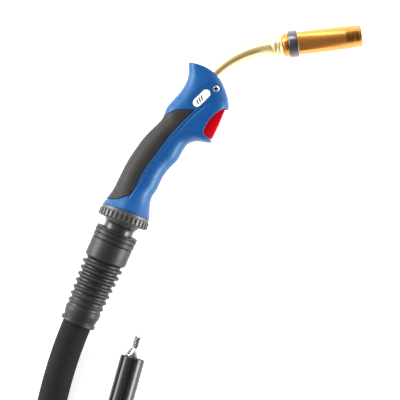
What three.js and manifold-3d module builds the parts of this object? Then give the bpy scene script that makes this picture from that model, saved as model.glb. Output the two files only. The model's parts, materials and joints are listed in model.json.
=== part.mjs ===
// A MIG welding torch lying on its left side, with its cable assembly coiled beside it.
// Millimetres. +X runs along the gas nozzle towards its mouth, +Y from the trigger side to the back
// of the handle, +Z up. The origin is under the middle of the torch, on the surface it lies on.

import * as THREE from "three";
import { mergeVertices } from "three/addons/utils/BufferGeometryUtils.js";
import Module from "manifold-3d";

const wasm = await Module();
wasm.setup();

const { Vector2, Vector3 } = THREE;
const radians = THREE.MathUtils.degToRad;

// ---------------------------------------------------------------- driving dimensions

const GAP = 0.3; // between neighbouring solids

// Where the torch lies: the middle of its locking ring, and how the handle is turned and tipped.
const RING_PLACE = new Vector3(-95.3, -31, 26.8);
const HANDLE_TURN = 63.1; // degrees from the nozzle's line to the locking ring's axis
const HANDLE_TIP = 2.2; // degrees, the head resting lower than the ring
const BALL_X = 4; // ball centre ahead of the ring's middle

// Handle shells
const WALL = 3.2;
const SEAM = 0.15; // each shell stops this far from the middle plane
const PAD_DEPTH = 1.6;
const REAR_FACE_X = 7.3;
const SPIGOT_RADIUS = 24.6;
const SCREW_PLACE = [156.6, -44.2];
const BADGE_ENDS = [
  [136.4, -30.8],
  [148.3, -36.5],
];
const BADGE_RADIUS = 4.2;

// Trigger
const TRIGGER_HALF_WIDTH = 12.3;
const TRIGGER_PIN = [138.6, -52.6];
const TRIGGER_PIN_RADIUS = 1.5;
const TRIGGER_TRAVEL = 5; // degrees
const TRIGGER_CLEARANCE = 0.9;

// Neck and nozzle, measured along the nozzle's axis from the end of the neck's bend
const BEND_END = [218, -81.3]; // in the handle's frame
const BEND_RADIUS = 95;
const BEND_ANGLE = 40;
const NECK_RADIUS = 8;
const NECK_BORE = 4.6;
const NECK_TAIL = 38; // straight stretch inside the handle
const NOZZLE_RADIUS = 12;
const NOZZLE_START = 13.5;
const NOZZLE_END = 95;

// Locking ring and swivel joint
const RING_RADIUS = 26.5;
const RING_TEETH = 32;
const BALL_RADIUS = 20.5;
const CUP_INNER = 20.8;
const CUP_OUTER = 22.4;
const SEAT_RADIUS = 23.2; // of the hollow that the cup turns in
const SHANK_RADIUS = 15.8;

// Kink sleeve
const SLEEVE_TURN = 3.7; // degrees between the ring's axis and the sleeve
const SLEEVE_DROP = 3.85; // degrees down towards the cable
const SLEEVE_BORE = 16.1;
const SLEEVE_RIBS = 7;
const RIB_PITCH = 7.12;

// Cable
const CABLE_RADIUS = 15.1;
const COIL_CENTRE = [-43, -538];
const COIL_INNER = 119;
const COIL_OUTER = 181;
const COIL_HEIGHT = 60;
const END_PLACE = new Vector3(-103.4, -175.1, 13);
const END_TURN = 67.6; // degrees from +X
const END_DROP = 1.7; // degrees
const END_SLEEVE_LENGTH = 78;
const END_SLEEVE_RADIUS = 12.7;

// ---------------------------------------------------------------- looks

const LOOKS = {
  shell: { color: 0x2563b8, roughness: 0.5, metalness: 0 },
  pad: { color: 0x5a5754, roughness: 0.9, metalness: 0 },
  badge: { color: 0xf2f2f0, roughness: 0.3, metalness: 0 },
  trigger: { color: 0xd0142c, roughness: 0.3, metalness: 0 },
  steel: { color: 0xc8c9ca, roughness: 0.3, metalness: 1 },
  nickel: { color: 0xc7c9cc, roughness: 0.25, metalness: 1 },
  brass: { color: 0xd9b45a, roughness: 0.2, metalness: 1 },
  copper: { color: 0xb87038, roughness: 0.3, metalness: 1 },
  ceramic: { color: 0xe6e2d6, roughness: 0.6, metalness: 0 },
  liner: { color: 0xdcd8cc, roughness: 0.6, metalness: 0 },
  insulator: { color: 0x2b2c2e, roughness: 0.5, metalness: 0 },
  switchBody: { color: 0x1d1d1f, roughness: 0.5, metalness: 0 },
  switchButton: { color: 0xb5342a, roughness: 0.5, metalness: 0 },
  redWire: { color: 0x7a2d2d, roughness: 0.6, metalness: 0 },
  greenWire: { color: 0x2d6b3a, roughness: 0.6, metalness: 0 },
  mattBlack: { color: 0x2a2a2b, roughness: 0.7, metalness: 0 },
  glossBlack: { color: 0x111113, roughness: 0.2, metalness: 0 },
  rubber: { color: 0x2c2c2c, roughness: 0.8, metalness: 0 },
};

// ---------------------------------------------------------------- solids

// A closed geometry as a manifold solid, turned the right way round.
function solid(geometry) {
  const bare = new THREE.BufferGeometry().setAttribute("position", geometry.getAttribute("position"));
  if (geometry.index) bare.setIndex(geometry.index);
  const merged = mergeVertices(bare, 1e-4);
  const corners = [];
  for (let i = 0; i < merged.index.count; i += 3) {
    const [a, b, c] = [0, 1, 2].map((k) => merged.index.getX(i + k));
    if (a !== b && b !== c && c !== a) corners.push(a, b, c);
  }
  const build = () =>
    new wasm.Manifold(
      new wasm.Mesh({
        numProp: 3,
        vertProperties: Float32Array.from(merged.attributes.position.array),
        triVerts: Uint32Array.from(corners),
      }),
    );
  const made = build();
  if (made.volume() >= 0) return made;
  for (let i = 0; i < corners.length; i += 3) [corners[i], corners[i + 1]] = [corners[i + 1], corners[i]];
  return build();
}

const asSolid = (shape) => (shape.isBufferGeometry ? solid(shape) : shape);
const join = (first, ...others) => others.reduce((sum, s) => sum.add(asSolid(s)), asSolid(first));
const cut = (first, ...others) => others.reduce((rest, s) => rest.subtract(asSolid(s)), asSolid(first));
const common = (first, second) => asSolid(first).intersect(asSolid(second));

function geometryOf(shape) {
  const mesh = shape.getMesh();
  const indexed = new THREE.BufferGeometry()
    .setAttribute("position", new THREE.BufferAttribute(Float32Array.from(mesh.vertProperties), 3))
    .setIndex(new THREE.BufferAttribute(Uint32Array.from(mesh.triVerts), 1));
  const flat = indexed.toNonIndexed();
  flat.computeVertexNormals();
  return flat;
}

// One named piece with a material of its own.
function piece(parent, name, shape, look) {
  const mesh = new THREE.Mesh(geometryOf(asSolid(shape)), new THREE.MeshStandardMaterial(look));
  mesh.name = name;
  parent.add(mesh);
  return mesh;
}

// A turned form about the X axis. The profile is a list of [x, radius].
function turned(profile, sides = 24) {
  const points = profile.map(([x, radius]) => new Vector2(Math.max(radius, 0), x));
  return new THREE.LatheGeometry(points, sides).rotateZ(-Math.PI / 2);
}

// A turned form with a bore right through it: the outer profile closed by the bore's line.
function turnedRing(profile, bore, sides = 24) {
  const [first, last] = [profile[0], profile[profile.length - 1]];
  return turned([[first[0], bore], ...profile, [last[0], bore], [first[0], bore]], sides);
}

// Points on a circle about [x, 0] from one angle to another, as [x, radius].
function arc(x, radius, from, to, steps) {
  return Array.from({ length: steps + 1 }, (_, i) => {
    const angle = radians(from + ((to - from) * i) / steps);
    return [x + radius * Math.cos(angle), radius * Math.abs(Math.sin(angle))];
  });
}

function rod(x0, x1, radius, sides = 20) {
  return turned([[x0, 0], [x0, radius], [x1, radius], [x1, 0]], sides);
}

// A rod along +Z at a place in the handle's frame.
function upright([x, y], z0, z1, radius, sides = 20) {
  return rod(z0, z1, radius, sides).rotateY(-Math.PI / 2).translate(x, y, 0);
}

function block([x0, x1], [y0, y1], [z0, z1]) {
  return new THREE.BoxGeometry(x1 - x0, y1 - y0, z1 - z0)
    .translate((x0 + x1) / 2, (y0 + y1) / 2, (z0 + z1) / 2);
}

const shapeOf = (points) => new THREE.Shape(points.map(([x, y]) => new Vector2(x, y)));

// A flat outline in the handle's side view, made into a slab from z0 to z1.
function slab(outline, z0, z1, curveSegments = 4) {
  const shape = outline instanceof THREE.Shape ? outline : shapeOf(outline);
  const depth = z1 - z0;
  const options = { depth, bevelEnabled: false, curveSegments };
  return new THREE.ExtrudeGeometry(shape, options).translate(0, 0, z0);
}

// A skin through rings of equally many points, closed at both ends.
function skin(rings) {
  const sides = rings[0].length;
  const positions = rings.flat().flatMap((p) => [p.x, p.y, p.z]);
  const index = [];
  for (let i = 0; i + 1 < rings.length; i++) {
    for (let j = 0; j < sides; j++) {
      const [a, b] = [i * sides + j, i * sides + ((j + 1) % sides)];
      index.push(a, b, a + sides, b, b + sides, a + sides);
    }
  }
  for (const [first, flip] of [[0, true], [(rings.length - 1) * sides, false]]) {
    for (let j = 1; j + 1 < sides; j++) {
      index.push(first, first + (flip ? j + 1 : j), first + (flip ? j : j + 1));
    }
  }
  const geometry = new THREE.BufferGeometry();
  geometry.setAttribute("position", new THREE.Float32BufferAttribute(positions, 3));
  return geometry.setIndex(index);
}

// A round bar or pipe along a curve, whose radius may change on the way.
function bar(curve, steps, sides, radiusAt) {
  const frames = curve.computeFrenetFrames(steps);
  const rings = [];
  for (let i = 0; i <= steps; i++) {
    const centre = curve.getPointAt(i / steps);
    const radius = radiusAt(i / steps);
    const ring = [];
    for (let j = 0; j < sides; j++) {
      const angle = (2 * Math.PI * j) / sides;
      ring.push(
        centre.clone()
          .addScaledVector(frames.normals[i], radius * Math.cos(angle))
          .addScaledVector(frames.binormals[i], radius * Math.sin(angle)),
      );
    }
    rings.push(ring);
  }
  return skin(rings);
}

// A cable along a curve as an extrusion of its round section.
function cable(points, radius, steps, sides = 10) {
  const curve = new THREE.CatmullRomCurve3(points.map((p) => new Vector3(...p)), false, "centripetal");
  const section = new THREE.Shape();
  for (let j = 0; j < sides; j++) {
    const angle = (2 * Math.PI * j) / sides;
    const place = [radius * Math.cos(angle), radius * Math.sin(angle)];
    if (j === 0) section.moveTo(...place);
    else section.lineTo(...place);
  }
  return new THREE.ExtrudeGeometry(section, { steps, extrudePath: curve, bevelEnabled: false });
}

// ---------------------------------------------------------------- the handle's form

// Stations along the handle: its back edge, its front edge, its half width and how square it is.
const STATIONS = [
  { back: [7.3, 25.4], front: [7.3, -25.4], half: 25.4, square: 2 },
  { back: [14.7, 23], front: [14, -23.2], half: 23.2, square: 2 },
  { back: [24, 20.4], front: [22, -20.9], half: 20.9, square: 2.1 },
  { back: [36, 18.9], front: [30, -19.9], half: 19.4, square: 2.2 },
  { back: [48, 17.6], front: [40, -22.2], half: 18.9, square: 2.3 },
  { back: [60, 15.7], front: [52.8, -23.3], half: 18.7, square: 2.3 },
  { back: [71.7, 12.8], front: [64, -26.6], half: 18.6, square: 2.3 },
  { back: [82, 9.9], front: [75, -31.6], half: 18.6, square: 2.35 },
  { back: [92, 6], front: [86, -33.5], half: 18.8, square: 2.4 },
  { back: [101, 1.6], front: [94.3, -36], half: 19.2, square: 2.5 },
  { back: [108, -1.6], front: [100.2, -43.3], half: 19.6, square: 2.6 },
  { back: [113, -2.5], front: [104.4, -58.5], half: 20, square: 2.8 },
  { back: [121.3, -2.6], front: [113, -62], half: 20.4, square: 3 },
  { back: [130, -5.4], front: [129, -63.4], half: 20.8, square: 3 },
  { back: [140.5, -9.7], front: [143.6, -63], half: 21, square: 3 },
  { back: [149.8, -12.2], front: [153, -58.5], half: 20.8, square: 3 },
  { back: [161.7, -12.1], front: [163, -50.6], half: 20, square: 3 },
  { back: [170, -9], front: [171, -42.4], half: 19.2, square: 3 },
  { back: [178, -6], front: [179, -35], half: 18.4, square: 3 },
];

// Inside, the finger guard is solid: the cavity's front edge leaves it out.
const CAVITY_FRONT = { 9: [96, -34], 10: [103, -38], 11: [108.5, -47], 12: [114, -61] };

// The head's end, beyond which the form is cut away.
const HEAD_END = [
  [173.6, 10], [173.6, -8.9], [174.4, -17], [174.3, -26], [172.7, -34],
  [170, -41.5], [167, -46.6], [163, -51], [166, -58], [200, -58], [200, 10],
];

function handleForm(inset, rings, sides, frontOverrides = {}) {
  const edge = (pick) => new THREE.CatmullRomCurve3(STATIONS.map(pick), false, "centripetal");
  const back = edge((s) => new Vector3(...s.back, s.half));
  const front = edge((s, i) => new Vector3(...(frontOverrides[i] ?? s.front), s.square));
  const made = [];
  for (let i = 0; i <= rings; i++) {
    const b = back.getPoint(i / rings);
    const f = front.getPoint(i / rings);
    const [half, square] = [b.z - inset, f.z];
    const centre = new Vector2((b.x + f.x) / 2, (b.y + f.y) / 2);
    const across = new Vector2(b.x - f.x, b.y - f.y).multiplyScalar(0.5);
    across.setLength(across.length() - inset);
    const ring = [];
    for (let j = 0; j < sides; j++) {
      const angle = (2 * Math.PI * j) / sides;
      const [c, s] = [Math.cos(angle), Math.sin(angle)];
      const reach = Math.sign(c) * Math.abs(c) ** (2 / square);
      const rise = Math.sign(s) * Math.abs(s) ** (2 / square);
      ring.push(new Vector3(centre.x + across.x * reach, centre.y + across.y * reach, half * rise));
    }
    made.push(ring);
  }
  return skin(made);
}

// The grip pad's outline in side view: its top edge, its pointed tip and its long lower edge.
function padOutline(grow) {
  const shape = new THREE.Shape();
  shape.moveTo(107 + grow, 14);
  shape.lineTo(111.8 + grow, -3.4);
  shape.quadraticCurveTo(123 + grow, -10.5, 128.6 + grow, -31 - grow);
  shape.splineThru([
    new Vector2(114.9, -23.9 - grow), new Vector2(97, -16.3 - grow), new Vector2(78.1, -10.3 - grow),
    new Vector2(60.6, -5.1 - grow), new Vector2(42.5, -1.2 - grow), new Vector2(26.4 - grow, 1.4 - grow),
    new Vector2(18.8 - grow, 8.3), new Vector2(15.4 - grow, 14.2), new Vector2(13 - grow, 22.2),
  ]);
  shape.lineTo(10.7 - grow, 34);
  shape.lineTo(60, 34);
  return shape;
}

// The trigger's side view: its finger face on the front, its lever inside the head.
const TRIGGER_OUTLINE = [
  [142.4, -58.6], [139.5, -60.1], [124, -59.3], [111, -58.1], [107.4, -57.5], [108, -50.5],
  [109.6, -45], [113, -42.2], [130, -41.4], [138, -46.8], [142.6, -52],
];

// The opening in the shells' sides that shows the trigger.
const TRIGGER_OPENING = [
  [141.6, -70], [141.2, -59.6], [137, -55.6], [132.2, -51.9], [126.4, -49.3], [121.1, -47.8], [116, -46.8],
  [111.2, -46.8], [108.6, -48.4], [107.4, -51], [106.6, -55], [105.2, -57.8], [103, -70],
];

// The trigger with rounded edges, and the room it needs in the shells.
function triggerBody(bevel) {
  return new THREE.ExtrudeGeometry(shapeOf(TRIGGER_OUTLINE), {
    depth: 2 * (TRIGGER_HALF_WIDTH - bevel),
    bevelSize: bevel,
    bevelOffset: -bevel,
    bevelThickness: bevel,
    bevelSegments: 1,
  }).translate(0, 0, bevel - TRIGGER_HALF_WIDTH);
}

function triggerSpace(grow) {
  const middle = new Vector2(126, -51);
  const grown = TRIGGER_OUTLINE.map(([x, y]) => {
    const away = new Vector2(x, y).sub(middle);
    away.setLength(away.length() + grow);
    return [middle.x + away.x, middle.y + away.y];
  });
  return slab(grown, -TRIGGER_HALF_WIDTH - 0.6, TRIGGER_HALF_WIDTH + 0.6);
}

function aboutPin(geometry, degrees) {
  const [x, y] = TRIGGER_PIN;
  return geometry.translate(-x, -y, 0).rotateZ(radians(degrees)).translate(x, y, 0);
}

// ---------------------------------------------------------------- placing groups

const torch = new THREE.Group();
torch.name = "mig_welding_torch";

const handle = new THREE.Group(); // x along the locking ring's axis, y to the back, z to the right side
handle.position.copy(RING_PLACE);
handle.rotation.set(radians(-HANDLE_TIP), 0, radians(HANDLE_TURN));
torch.add(handle);

const neck = new THREE.Group(); // x along the nozzle, from the end of the bend
neck.position.set(...BEND_END, 0);
neck.rotation.z = radians(-HANDLE_TURN);
handle.add(neck);

handle.updateMatrix();
const hose = new THREE.Group(); // x along the kink sleeve towards the torch, from the ball's centre
hose.position.copy(new Vector3(BALL_X, 0, 0).applyMatrix4(handle.matrix));
hose.rotation.set(0, radians(-SLEEVE_DROP), radians(HANDLE_TURN - SLEEVE_TURN), "ZYX");
torch.add(hose);

const far = new THREE.Group(); // x along the end fitting towards its tip, from the sleeve's mouth
far.position.copy(END_PLACE);
far.rotation.set(0, radians(END_DROP), radians(END_TURN), "ZYX");
torch.add(far);

// Where the neck's bend starts, in its own frame, with its straight tail behind it.
const bendStart = [
  -BEND_RADIUS * Math.sin(radians(BEND_ANGLE)),
  -BEND_RADIUS * (1 - Math.cos(radians(BEND_ANGLE))),
];

function neckTail(geometry) {
  return geometry.rotateZ(radians(BEND_ANGLE)).translate(...bendStart, 0);
}

function inHandle(geometry) {
  neck.updateMatrix();
  return geometry.applyMatrix4(neck.matrix);
}

// ---------------------------------------------------------------- handle shells, pads and trim

const PAST_SIDES = 40; // beyond the handle's half width
const RIB_SPANS = [
  [140, 142.5],
  [164.5, 167],
];
const SPRING_SEAT = [
  [108.8, 115.6],
  [-34, -31.5],
];
const BOSS_RADIUS = 5.2;
const BADGE_FLOOR = 19.6;

const through = (outline, curveSegments) => slab(outline, -PAST_SIDES, PAST_SIDES, curveSegments);

// The part of a handle solid on the right of the middle plane (side 1) or on its left (side -1).
function halfOf(whole, side) {
  const heights = side > 0 ? [SEAM, PAST_SIDES] : [-PAST_SIDES, -SEAM];
  return common(whole, block([-10, 190], [-80, 40], heights));
}

function badgeOutline(grow) {
  const [[x0, y0], [x1, y1]] = BADGE_ENDS;
  const along = Math.atan2(y1 - y0, x1 - x0);
  const shape = new THREE.Shape();
  shape.absarc(x0, y0, BADGE_RADIUS + grow, along + Math.PI / 2, along + (3 * Math.PI) / 2, false);
  shape.absarc(x1, y1, BADGE_RADIUS + grow, along - Math.PI / 2, along + Math.PI / 2, false);
  return shape;
}

// The handle's inside: hollow, with ribs, a seat for the trigger's spring and a boss for the screw.
function handleHollow() {
  const cavity = cut(handleForm(WALL, 16, 14, CAVITY_FRONT), through(HEAD_END).translate(-WALL, 0, 0));
  const ribs = RIB_SPANS.map((span) => common(cavity, block(span, [-60, 0], [-30, 30])));
  const springSeat = common(cavity, block(...SPRING_SEAT, [-30, 30]));
  const boss = upright(SCREW_PLACE, -17.5, 17.5, BOSS_RADIUS);
  return cut(cavity, ...ribs, springSeat, boss);
}

function buildShells() {
  const outside = solid(handleForm(0, 34, 22));
  const socket = [
    [BALL_X - SEAT_RADIUS, 0],
    ...arc(BALL_X, SEAT_RADIUS, -180, 0, 14),
    [BALL_X + SEAT_RADIUS, 0],
  ];
  const openings = [
    turned(socket, 24),
    rod(-2, 20, 15.2), // the hose core's way in
    through(HEAD_END),
    inHandle(neckTail(rod(-NECK_TAIL - 22, 20, NECK_RADIUS + 0.4))),
    inHandle(neckTail(rod(-NECK_TAIL - 20, -27, 9.9))), // the union nut's space
    through(TRIGGER_OPENING),
    triggerSpace(TRIGGER_CLEARANCE),
    aboutPin(triggerSpace(TRIGGER_CLEARANCE), -TRIGGER_TRAVEL),
    upright(TRIGGER_PIN, -16.3, 16.3, TRIGGER_PIN_RADIUS + GAP),
    upright(SCREW_PLACE, -30, 30, 2.3), // the screw's hole, its counterbore and the nut's pocket
    upright(SCREW_PLACE, 14.4, 30, 4.5),
    upright(SCREW_PLACE, -30, -13.4, 4.3, 6),
  ];
  const padSpace = cut(through(padOutline(GAP), 2), handleForm(PAD_DEPTH + GAP, 24, 18));
  const spigot = rod(-0.3, REAR_FACE_X + 1, SPIGOT_RADIUS, 32);
  const shells = cut(join(outside, spigot), handleHollow(), ...openings, padSpace);
  const badgeSpace = slab(badgeOutline(GAP), BADGE_FLOOR, PAST_SIDES);
  piece(handle, "handle_shell_right", cut(halfOf(shells, 1), badgeSpace), LOOKS.shell);
  piece(handle, "handle_shell_left", halfOf(shells, -1), LOOKS.shell);

  const padSkin = cut(common(outside, through(padOutline(0), 2)), handleForm(PAD_DEPTH, 24, 18));
  piece(handle, "grip_pad_right", halfOf(padSkin, 1), LOOKS.pad);
  piece(handle, "grip_pad_left", halfOf(padSkin, -1), LOOKS.pad);
}

function buildTrim() {
  piece(handle, "badge", slab(badgeOutline(0), 19.9, 20.95, 8), LOOKS.badge);
  const slot = (turn) =>
    block([-2.4, 2.4], [-0.55, 0.55], [16, 18]).rotateZ(radians(turn)).translate(...SCREW_PLACE, 0);
  const recess = join(slot(20), slot(110));
  const head = join(upright(SCREW_PLACE, 14.8, 17.1, 4.1, 24), upright(SCREW_PLACE, -15.8, 14.9, 2));
  piece(handle, "handle_screw", cut(head, recess), LOOKS.steel);
  const nut = cut(upright(SCREW_PLACE, -17.2, -13.8, 3.9, 6), upright(SCREW_PLACE, -20, -10, 2.3));
  piece(handle, "handle_nut", nut, LOOKS.steel);
}

// ---------------------------------------------------------------- trigger and switch

const SWITCH_X = [116, 128.8];
const SWITCH_Y = [-38.2, -31.7];
const PLUNGER_X = 121;
const SPRING_X = 112.2;

function buildTrigger() {
  const pinHole = upright(TRIGGER_PIN, -20, 20, TRIGGER_PIN_RADIUS + 0.35, 16);
  const springPocket = rod(-48, -38, 3, 12).rotateZ(Math.PI / 2).translate(SPRING_X, 0, 0);
  piece(handle, "trigger", cut(triggerBody(1.2), pinHole, springPocket), LOOKS.trigger);
  piece(handle, "trigger_pin", upright(TRIGGER_PIN, -16, 16, TRIGGER_PIN_RADIUS, 16), LOOKS.steel);
  piece(handle, "trigger_spring", springCoil(), LOOKS.steel);
  const screwHoles = [118.2, 126.6].map((x) => upright([x, -33.4], -10, 10, 1, 8));
  const wellSides = [PLUNGER_X - 1.8, PLUNGER_X + 1.8];
  const plungerWell = block(wellSides, [SWITCH_Y[0] - 1, SWITCH_Y[0] + 2.6], [-1.7, 1.7]);
  const housing = cut(block(SWITCH_X, SWITCH_Y, [-2.9, 2.9]), ...screwHoles, plungerWell);
  piece(handle, "switch_body", housing, LOOKS.switchBody);
  const button = block([PLUNGER_X - 1.5, PLUNGER_X + 1.5], [-41.5, SWITCH_Y[0] + 0.8], [-1.4, 1.4]);
  piece(handle, "switch_plunger", button, LOOKS.switchButton);
  for (const [i, x] of [117.4, 122.6].entries()) {
    const side = i ? -1 : 1;
    const blade = block([x, x + 0.8], [SWITCH_Y[1] + GAP, -28], [-1.6, 1.6]);
    piece(handle, `switch_terminal_${i + 1}`, blade, LOOKS.brass);
    const lead = [
      [x + 0.4, -26.6, 0], [x - 4, -25, side], [104, -24.4, 3 * side], [92, -22.8, 4.5 * side],
      [78, -19.4, 5 * side], [64, -15.6, 5 * side],
    ];
    piece(handle, `control_lead_${i + 1}`, cable(lead, 1, 10, 8), i ? LOOKS.greenWire : LOOKS.redWire);
  }
}

// The trigger's return spring, between the seat rib and the trigger's pocket.
function springCoil() {
  const [turns, perTurn, radius, wire] = [5, 8, 2.1, 0.4];
  const points = [];
  for (let i = 0; i <= turns * perTurn; i++) {
    const angle = (2 * Math.PI * i) / perTurn;
    const y = -47 + (12.2 * i) / (turns * perTurn);
    points.push([SPRING_X + radius * Math.cos(angle), y, radius * Math.sin(angle)]);
  }
  return cable(points, wire, turns * perTurn, 5);
}

// ---------------------------------------------------------------- neck, gas nozzle and contact tip

function neckCurve(tail, ahead) {
  const points = [];
  const [cx, cy] = [Math.cos(radians(BEND_ANGLE)), Math.sin(radians(BEND_ANGLE))];
  for (let s = tail; s > 4; s -= 6) {
    points.push(new Vector3(bendStart[0] - s * cx, bendStart[1] - s * cy, 0));
  }
  for (let a = BEND_ANGLE; a > 0; a -= 4) {
    const angle = radians(a);
    points.push(new Vector3(-BEND_RADIUS * Math.sin(angle), -BEND_RADIUS * (1 - Math.cos(angle)), 0));
  }
  for (let x = 0; x <= ahead; x += ahead / 2) points.push(new Vector3(x, 0, 0));
  return new THREE.CatmullRomCurve3(points, false, "centripetal");
}

const HEAD_START = 1; // where the neck's tube meets the turned head

function buildNeck() {
  const flare = (t) => NECK_RADIUS + 0.8 * Math.max(0, (t - 0.84) / 0.16) ** 2;
  const bore = bar(neckCurve(NECK_TAIL + 5, HEAD_START + 4), 20, 8, () => NECK_BORE);
  const tube = bar(neckCurve(NECK_TAIL, HEAD_START), 20, 16, flare);
  piece(neck, "neck_tube", cut(tube, bore), LOOKS.brass);
  const liner = bar(neckCurve(NECK_TAIL + 2, HEAD_START + 26), 20, 6, () => 2.4);
  piece(neck, "wire_liner", liner, LOOKS.steel);

  const head = turnedRing([
    [HEAD_START + GAP, 8.9], [2.2, 9.3], [3.2, 12.2], [4, 12.6], [6.8, 12.6], [7, 11.9], [7.8, 11.9],
    [8, 12.6], [10.6, 12.6], [12.4, 11.2], [12.6, 9.4], [24, 9.4],
  ], 7.4, 20);
  piece(neck, "neck_head", cut(head, rod(0, 30, NECK_BORE)), LOOKS.brass);

  const nut = cut(
    neckTail(turned([[-41, 0], [-41, 9.3], [-28.6, 9.3], [-28, 8.8], [-28, 0]], 16)),
    neckTail(rod(-60, 0, NECK_RADIUS + GAP)),
  );
  piece(neck, "neck_union_nut", nut, LOOKS.brass);
  const fitting = turnedRing([[-56, 7], [-50, 7.6], [-41.4, 7.6], [-41.3, 7.2], [-38.4, 7.2]], 3, 16);
  piece(neck, "cable_front_fitting", neckTail(fitting), LOOKS.brass);
}

function buildNozzle() {
  const start = NOZZLE_START;
  const taperX = 78.5;
  const tipRadius = 11;
  const bore = 10.6;
  const insulatorX = [19.3, 28.8];
  const skirtEnd = insulatorX[0] - GAP;
  const skirt = turnedRing([[start, 11.6], [start + 0.6, NOZZLE_RADIUS], [skirtEnd, NOZZLE_RADIUS]], 9.8);
  piece(neck, "nozzle_skirt", skirt, LOOKS.copper);
  const insulator = turnedRing([
    [insulatorX[0], 13.7], [insulatorX[0] + 0.4, 14.1], [insulatorX[1] - 0.4, 14.1], [insulatorX[1], 13.7],
  ], 12.3, 24);
  piece(neck, "nozzle_insulator", insulator, LOOKS.insulator);
  const body = turned([
    [insulatorX[0], 9.8], [insulatorX[0], NOZZLE_RADIUS], [taperX, NOZZLE_RADIUS],
    [NOZZLE_END, tipRadius], [NOZZLE_END, 9], [80, bore], [34, bore], [32, 9.8], [insulatorX[0], 9.8],
  ], 24);
  piece(neck, "gas_nozzle", body, LOOKS.copper);

  const diffuser = turnedRing([[25, 7], [38, 7], [38.5, 6.2], [43, 6.2]], 3, 16);
  const ports = [0, 1, 2, 3].map((i) =>
    rod(2, 9, 1, 8).rotateZ(Math.PI / 2).translate(34, 0, 0).rotateX((i * Math.PI) / 2),
  );
  piece(neck, "gas_diffuser", cut(diffuser, ...ports), LOOKS.ceramic);
  const holder = turnedRing([[43.3, 4.6], [44, 5], [58, 5], [59, 4.4]], 2.9, 16);
  piece(neck, "tip_holder", holder, LOOKS.brass);
  const tip = turnedRing([[59.3, 3.6], [60, 4], [84, 4], [90, 2.6], [91, 2.4]], 0.7, 16);
  piece(neck, "contact_tip", tip, LOOKS.copper);
}

// ---------------------------------------------------------------- locking ring and swivel joint

function buildRing() {
  const [rear, front] = [-4.6, 6.9];
  const toothed = new THREE.Shape();
  for (let i = 0; i < RING_TEETH; i++) {
    for (const [share, radius] of [[0.12, RING_RADIUS], [0.62, RING_RADIUS], [0.68, 25], [0.94, 25]]) {
      const angle = (2 * Math.PI * (i + share)) / RING_TEETH;
      const place = [radius * Math.cos(angle), radius * Math.sin(angle)];
      if (i === 0 && share === 0.12) toothed.moveTo(...place);
      else toothed.lineTo(...place);
    }
  }
  const teeth = new THREE.ExtrudeGeometry(toothed, { depth: 7.8, bevelEnabled: false })
    .rotateY(Math.PI / 2)
    .translate(rear + 1.2, 0, 0);
  const hoop = rod(rear, front, 25.6, 32);
  const seat = turned([
    [rear - 8, 0], [rear - 8, 20.6], ...arc(BALL_X, SEAT_RADIUS, 114.5, 103, 3),
    [-0.6, 24.9], [front + 3, 24.9], [front + 3, 0],
  ], 32);
  piece(handle, "locking_ring", cut(join(hoop, teeth), seat), LOOKS.mattBlack);

  const cup = [
    ...arc(BALL_X, CUP_INNER, 112, 58, 5),
    ...arc(BALL_X, CUP_OUTER, 58, 112, 5),
  ];
  piece(handle, "swivel_cup", turned([...cup, cup[0]], 24), LOOKS.liner);
}

function buildHosePackage() {
  const front = 12; // the ball's flat front face, ahead of its centre
  const faceAngle = (Math.acos(front / BALL_RADIUS) * 180) / Math.PI;
  const ball = turned([
    [front, 14.8], ...arc(0, BALL_RADIUS, faceAngle, 128, 7), [-14, SHANK_RADIUS], [-44, SHANK_RADIUS],
    [-44, 12], [-8, 12], [front, 14.8],
  ], 24);
  piece(hose, "swivel_ball", ball, LOOKS.glossBlack);

  const mouth = -19.5;
  const profile = [
    [mouth, 21.4], [mouth - 0.8, 22.3], [mouth - 5.8, 22.3], [mouth - 6.5, 21.4], [mouth - 7.2, 22.1],
    [mouth - 11.4, 22.1], [mouth - 12.2, 21.2], [mouth - 13, 21.7], [mouth - 31.4, 21.6], [mouth - 33.2, 20.8],
  ];
  const ribStart = mouth - 35.4;
  const endRing = ribStart - RIB_PITCH * SLEEVE_RIBS;
  for (let i = 0; i < SLEEVE_RIBS; i++) {
    const share = i / (SLEEVE_RIBS - 1);
    const [crest, root] = [21.3 - 2.5 * share, 18.5 - 1.1 * share];
    const x = ribStart - RIB_PITCH * i;
    profile.push([x, root], [x - 2.2, root], [x - 3.4, crest], [x - 6.1, crest]);
  }
  profile.push([endRing, 17.4], [endRing - 2.2, 17.4], [endRing - 3.4, 18.6], [endRing - 6, 18.5],
    [endRing - 12.4, 17.2], [endRing - 13, 16.9], [endRing - 14.3, 16.9], [endRing - 15, 18.2],
    [endRing - 17.6, 18.2], [endRing - 18.4, 17.2]);
  piece(hose, "kink_sleeve", turnedRing(profile, SLEEVE_BORE, 18), LOOKS.rubber);

  piece(hose, "hose_core_rear", rod(-60, -9, 9), LOOKS.rubber);
  const ferrule = turnedRing([[-58, 14.6], [-57, 15.3], [-47, 15.3], [-46, 14.6]], 11.4);
  piece(hose, "cover_ferrule", ferrule, LOOKS.nickel);
}

function buildCore() {
  const points = [
    [12, 0], [22, 0], [40, -1], [60, -3.8], [80, -8.2], [98, -11.4], [111, -12.4], [118.2, -14.7],
  ].map(([x, y]) => new Vector3(x, y, 0));
  const core = bar(new THREE.CatmullRomCurve3(points, false, "centripetal"), 12, 12, (t) => 7.9 - 1.1 * t);
  const nose = turned([...arc(BALL_X, 8, 180, 90, 4), [14, 8], [14, 0]], 12);
  piece(handle, "hose_core_front", join(core, nose), LOOKS.rubber);
}

// ---------------------------------------------------------------- cable, coil and far end

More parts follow.
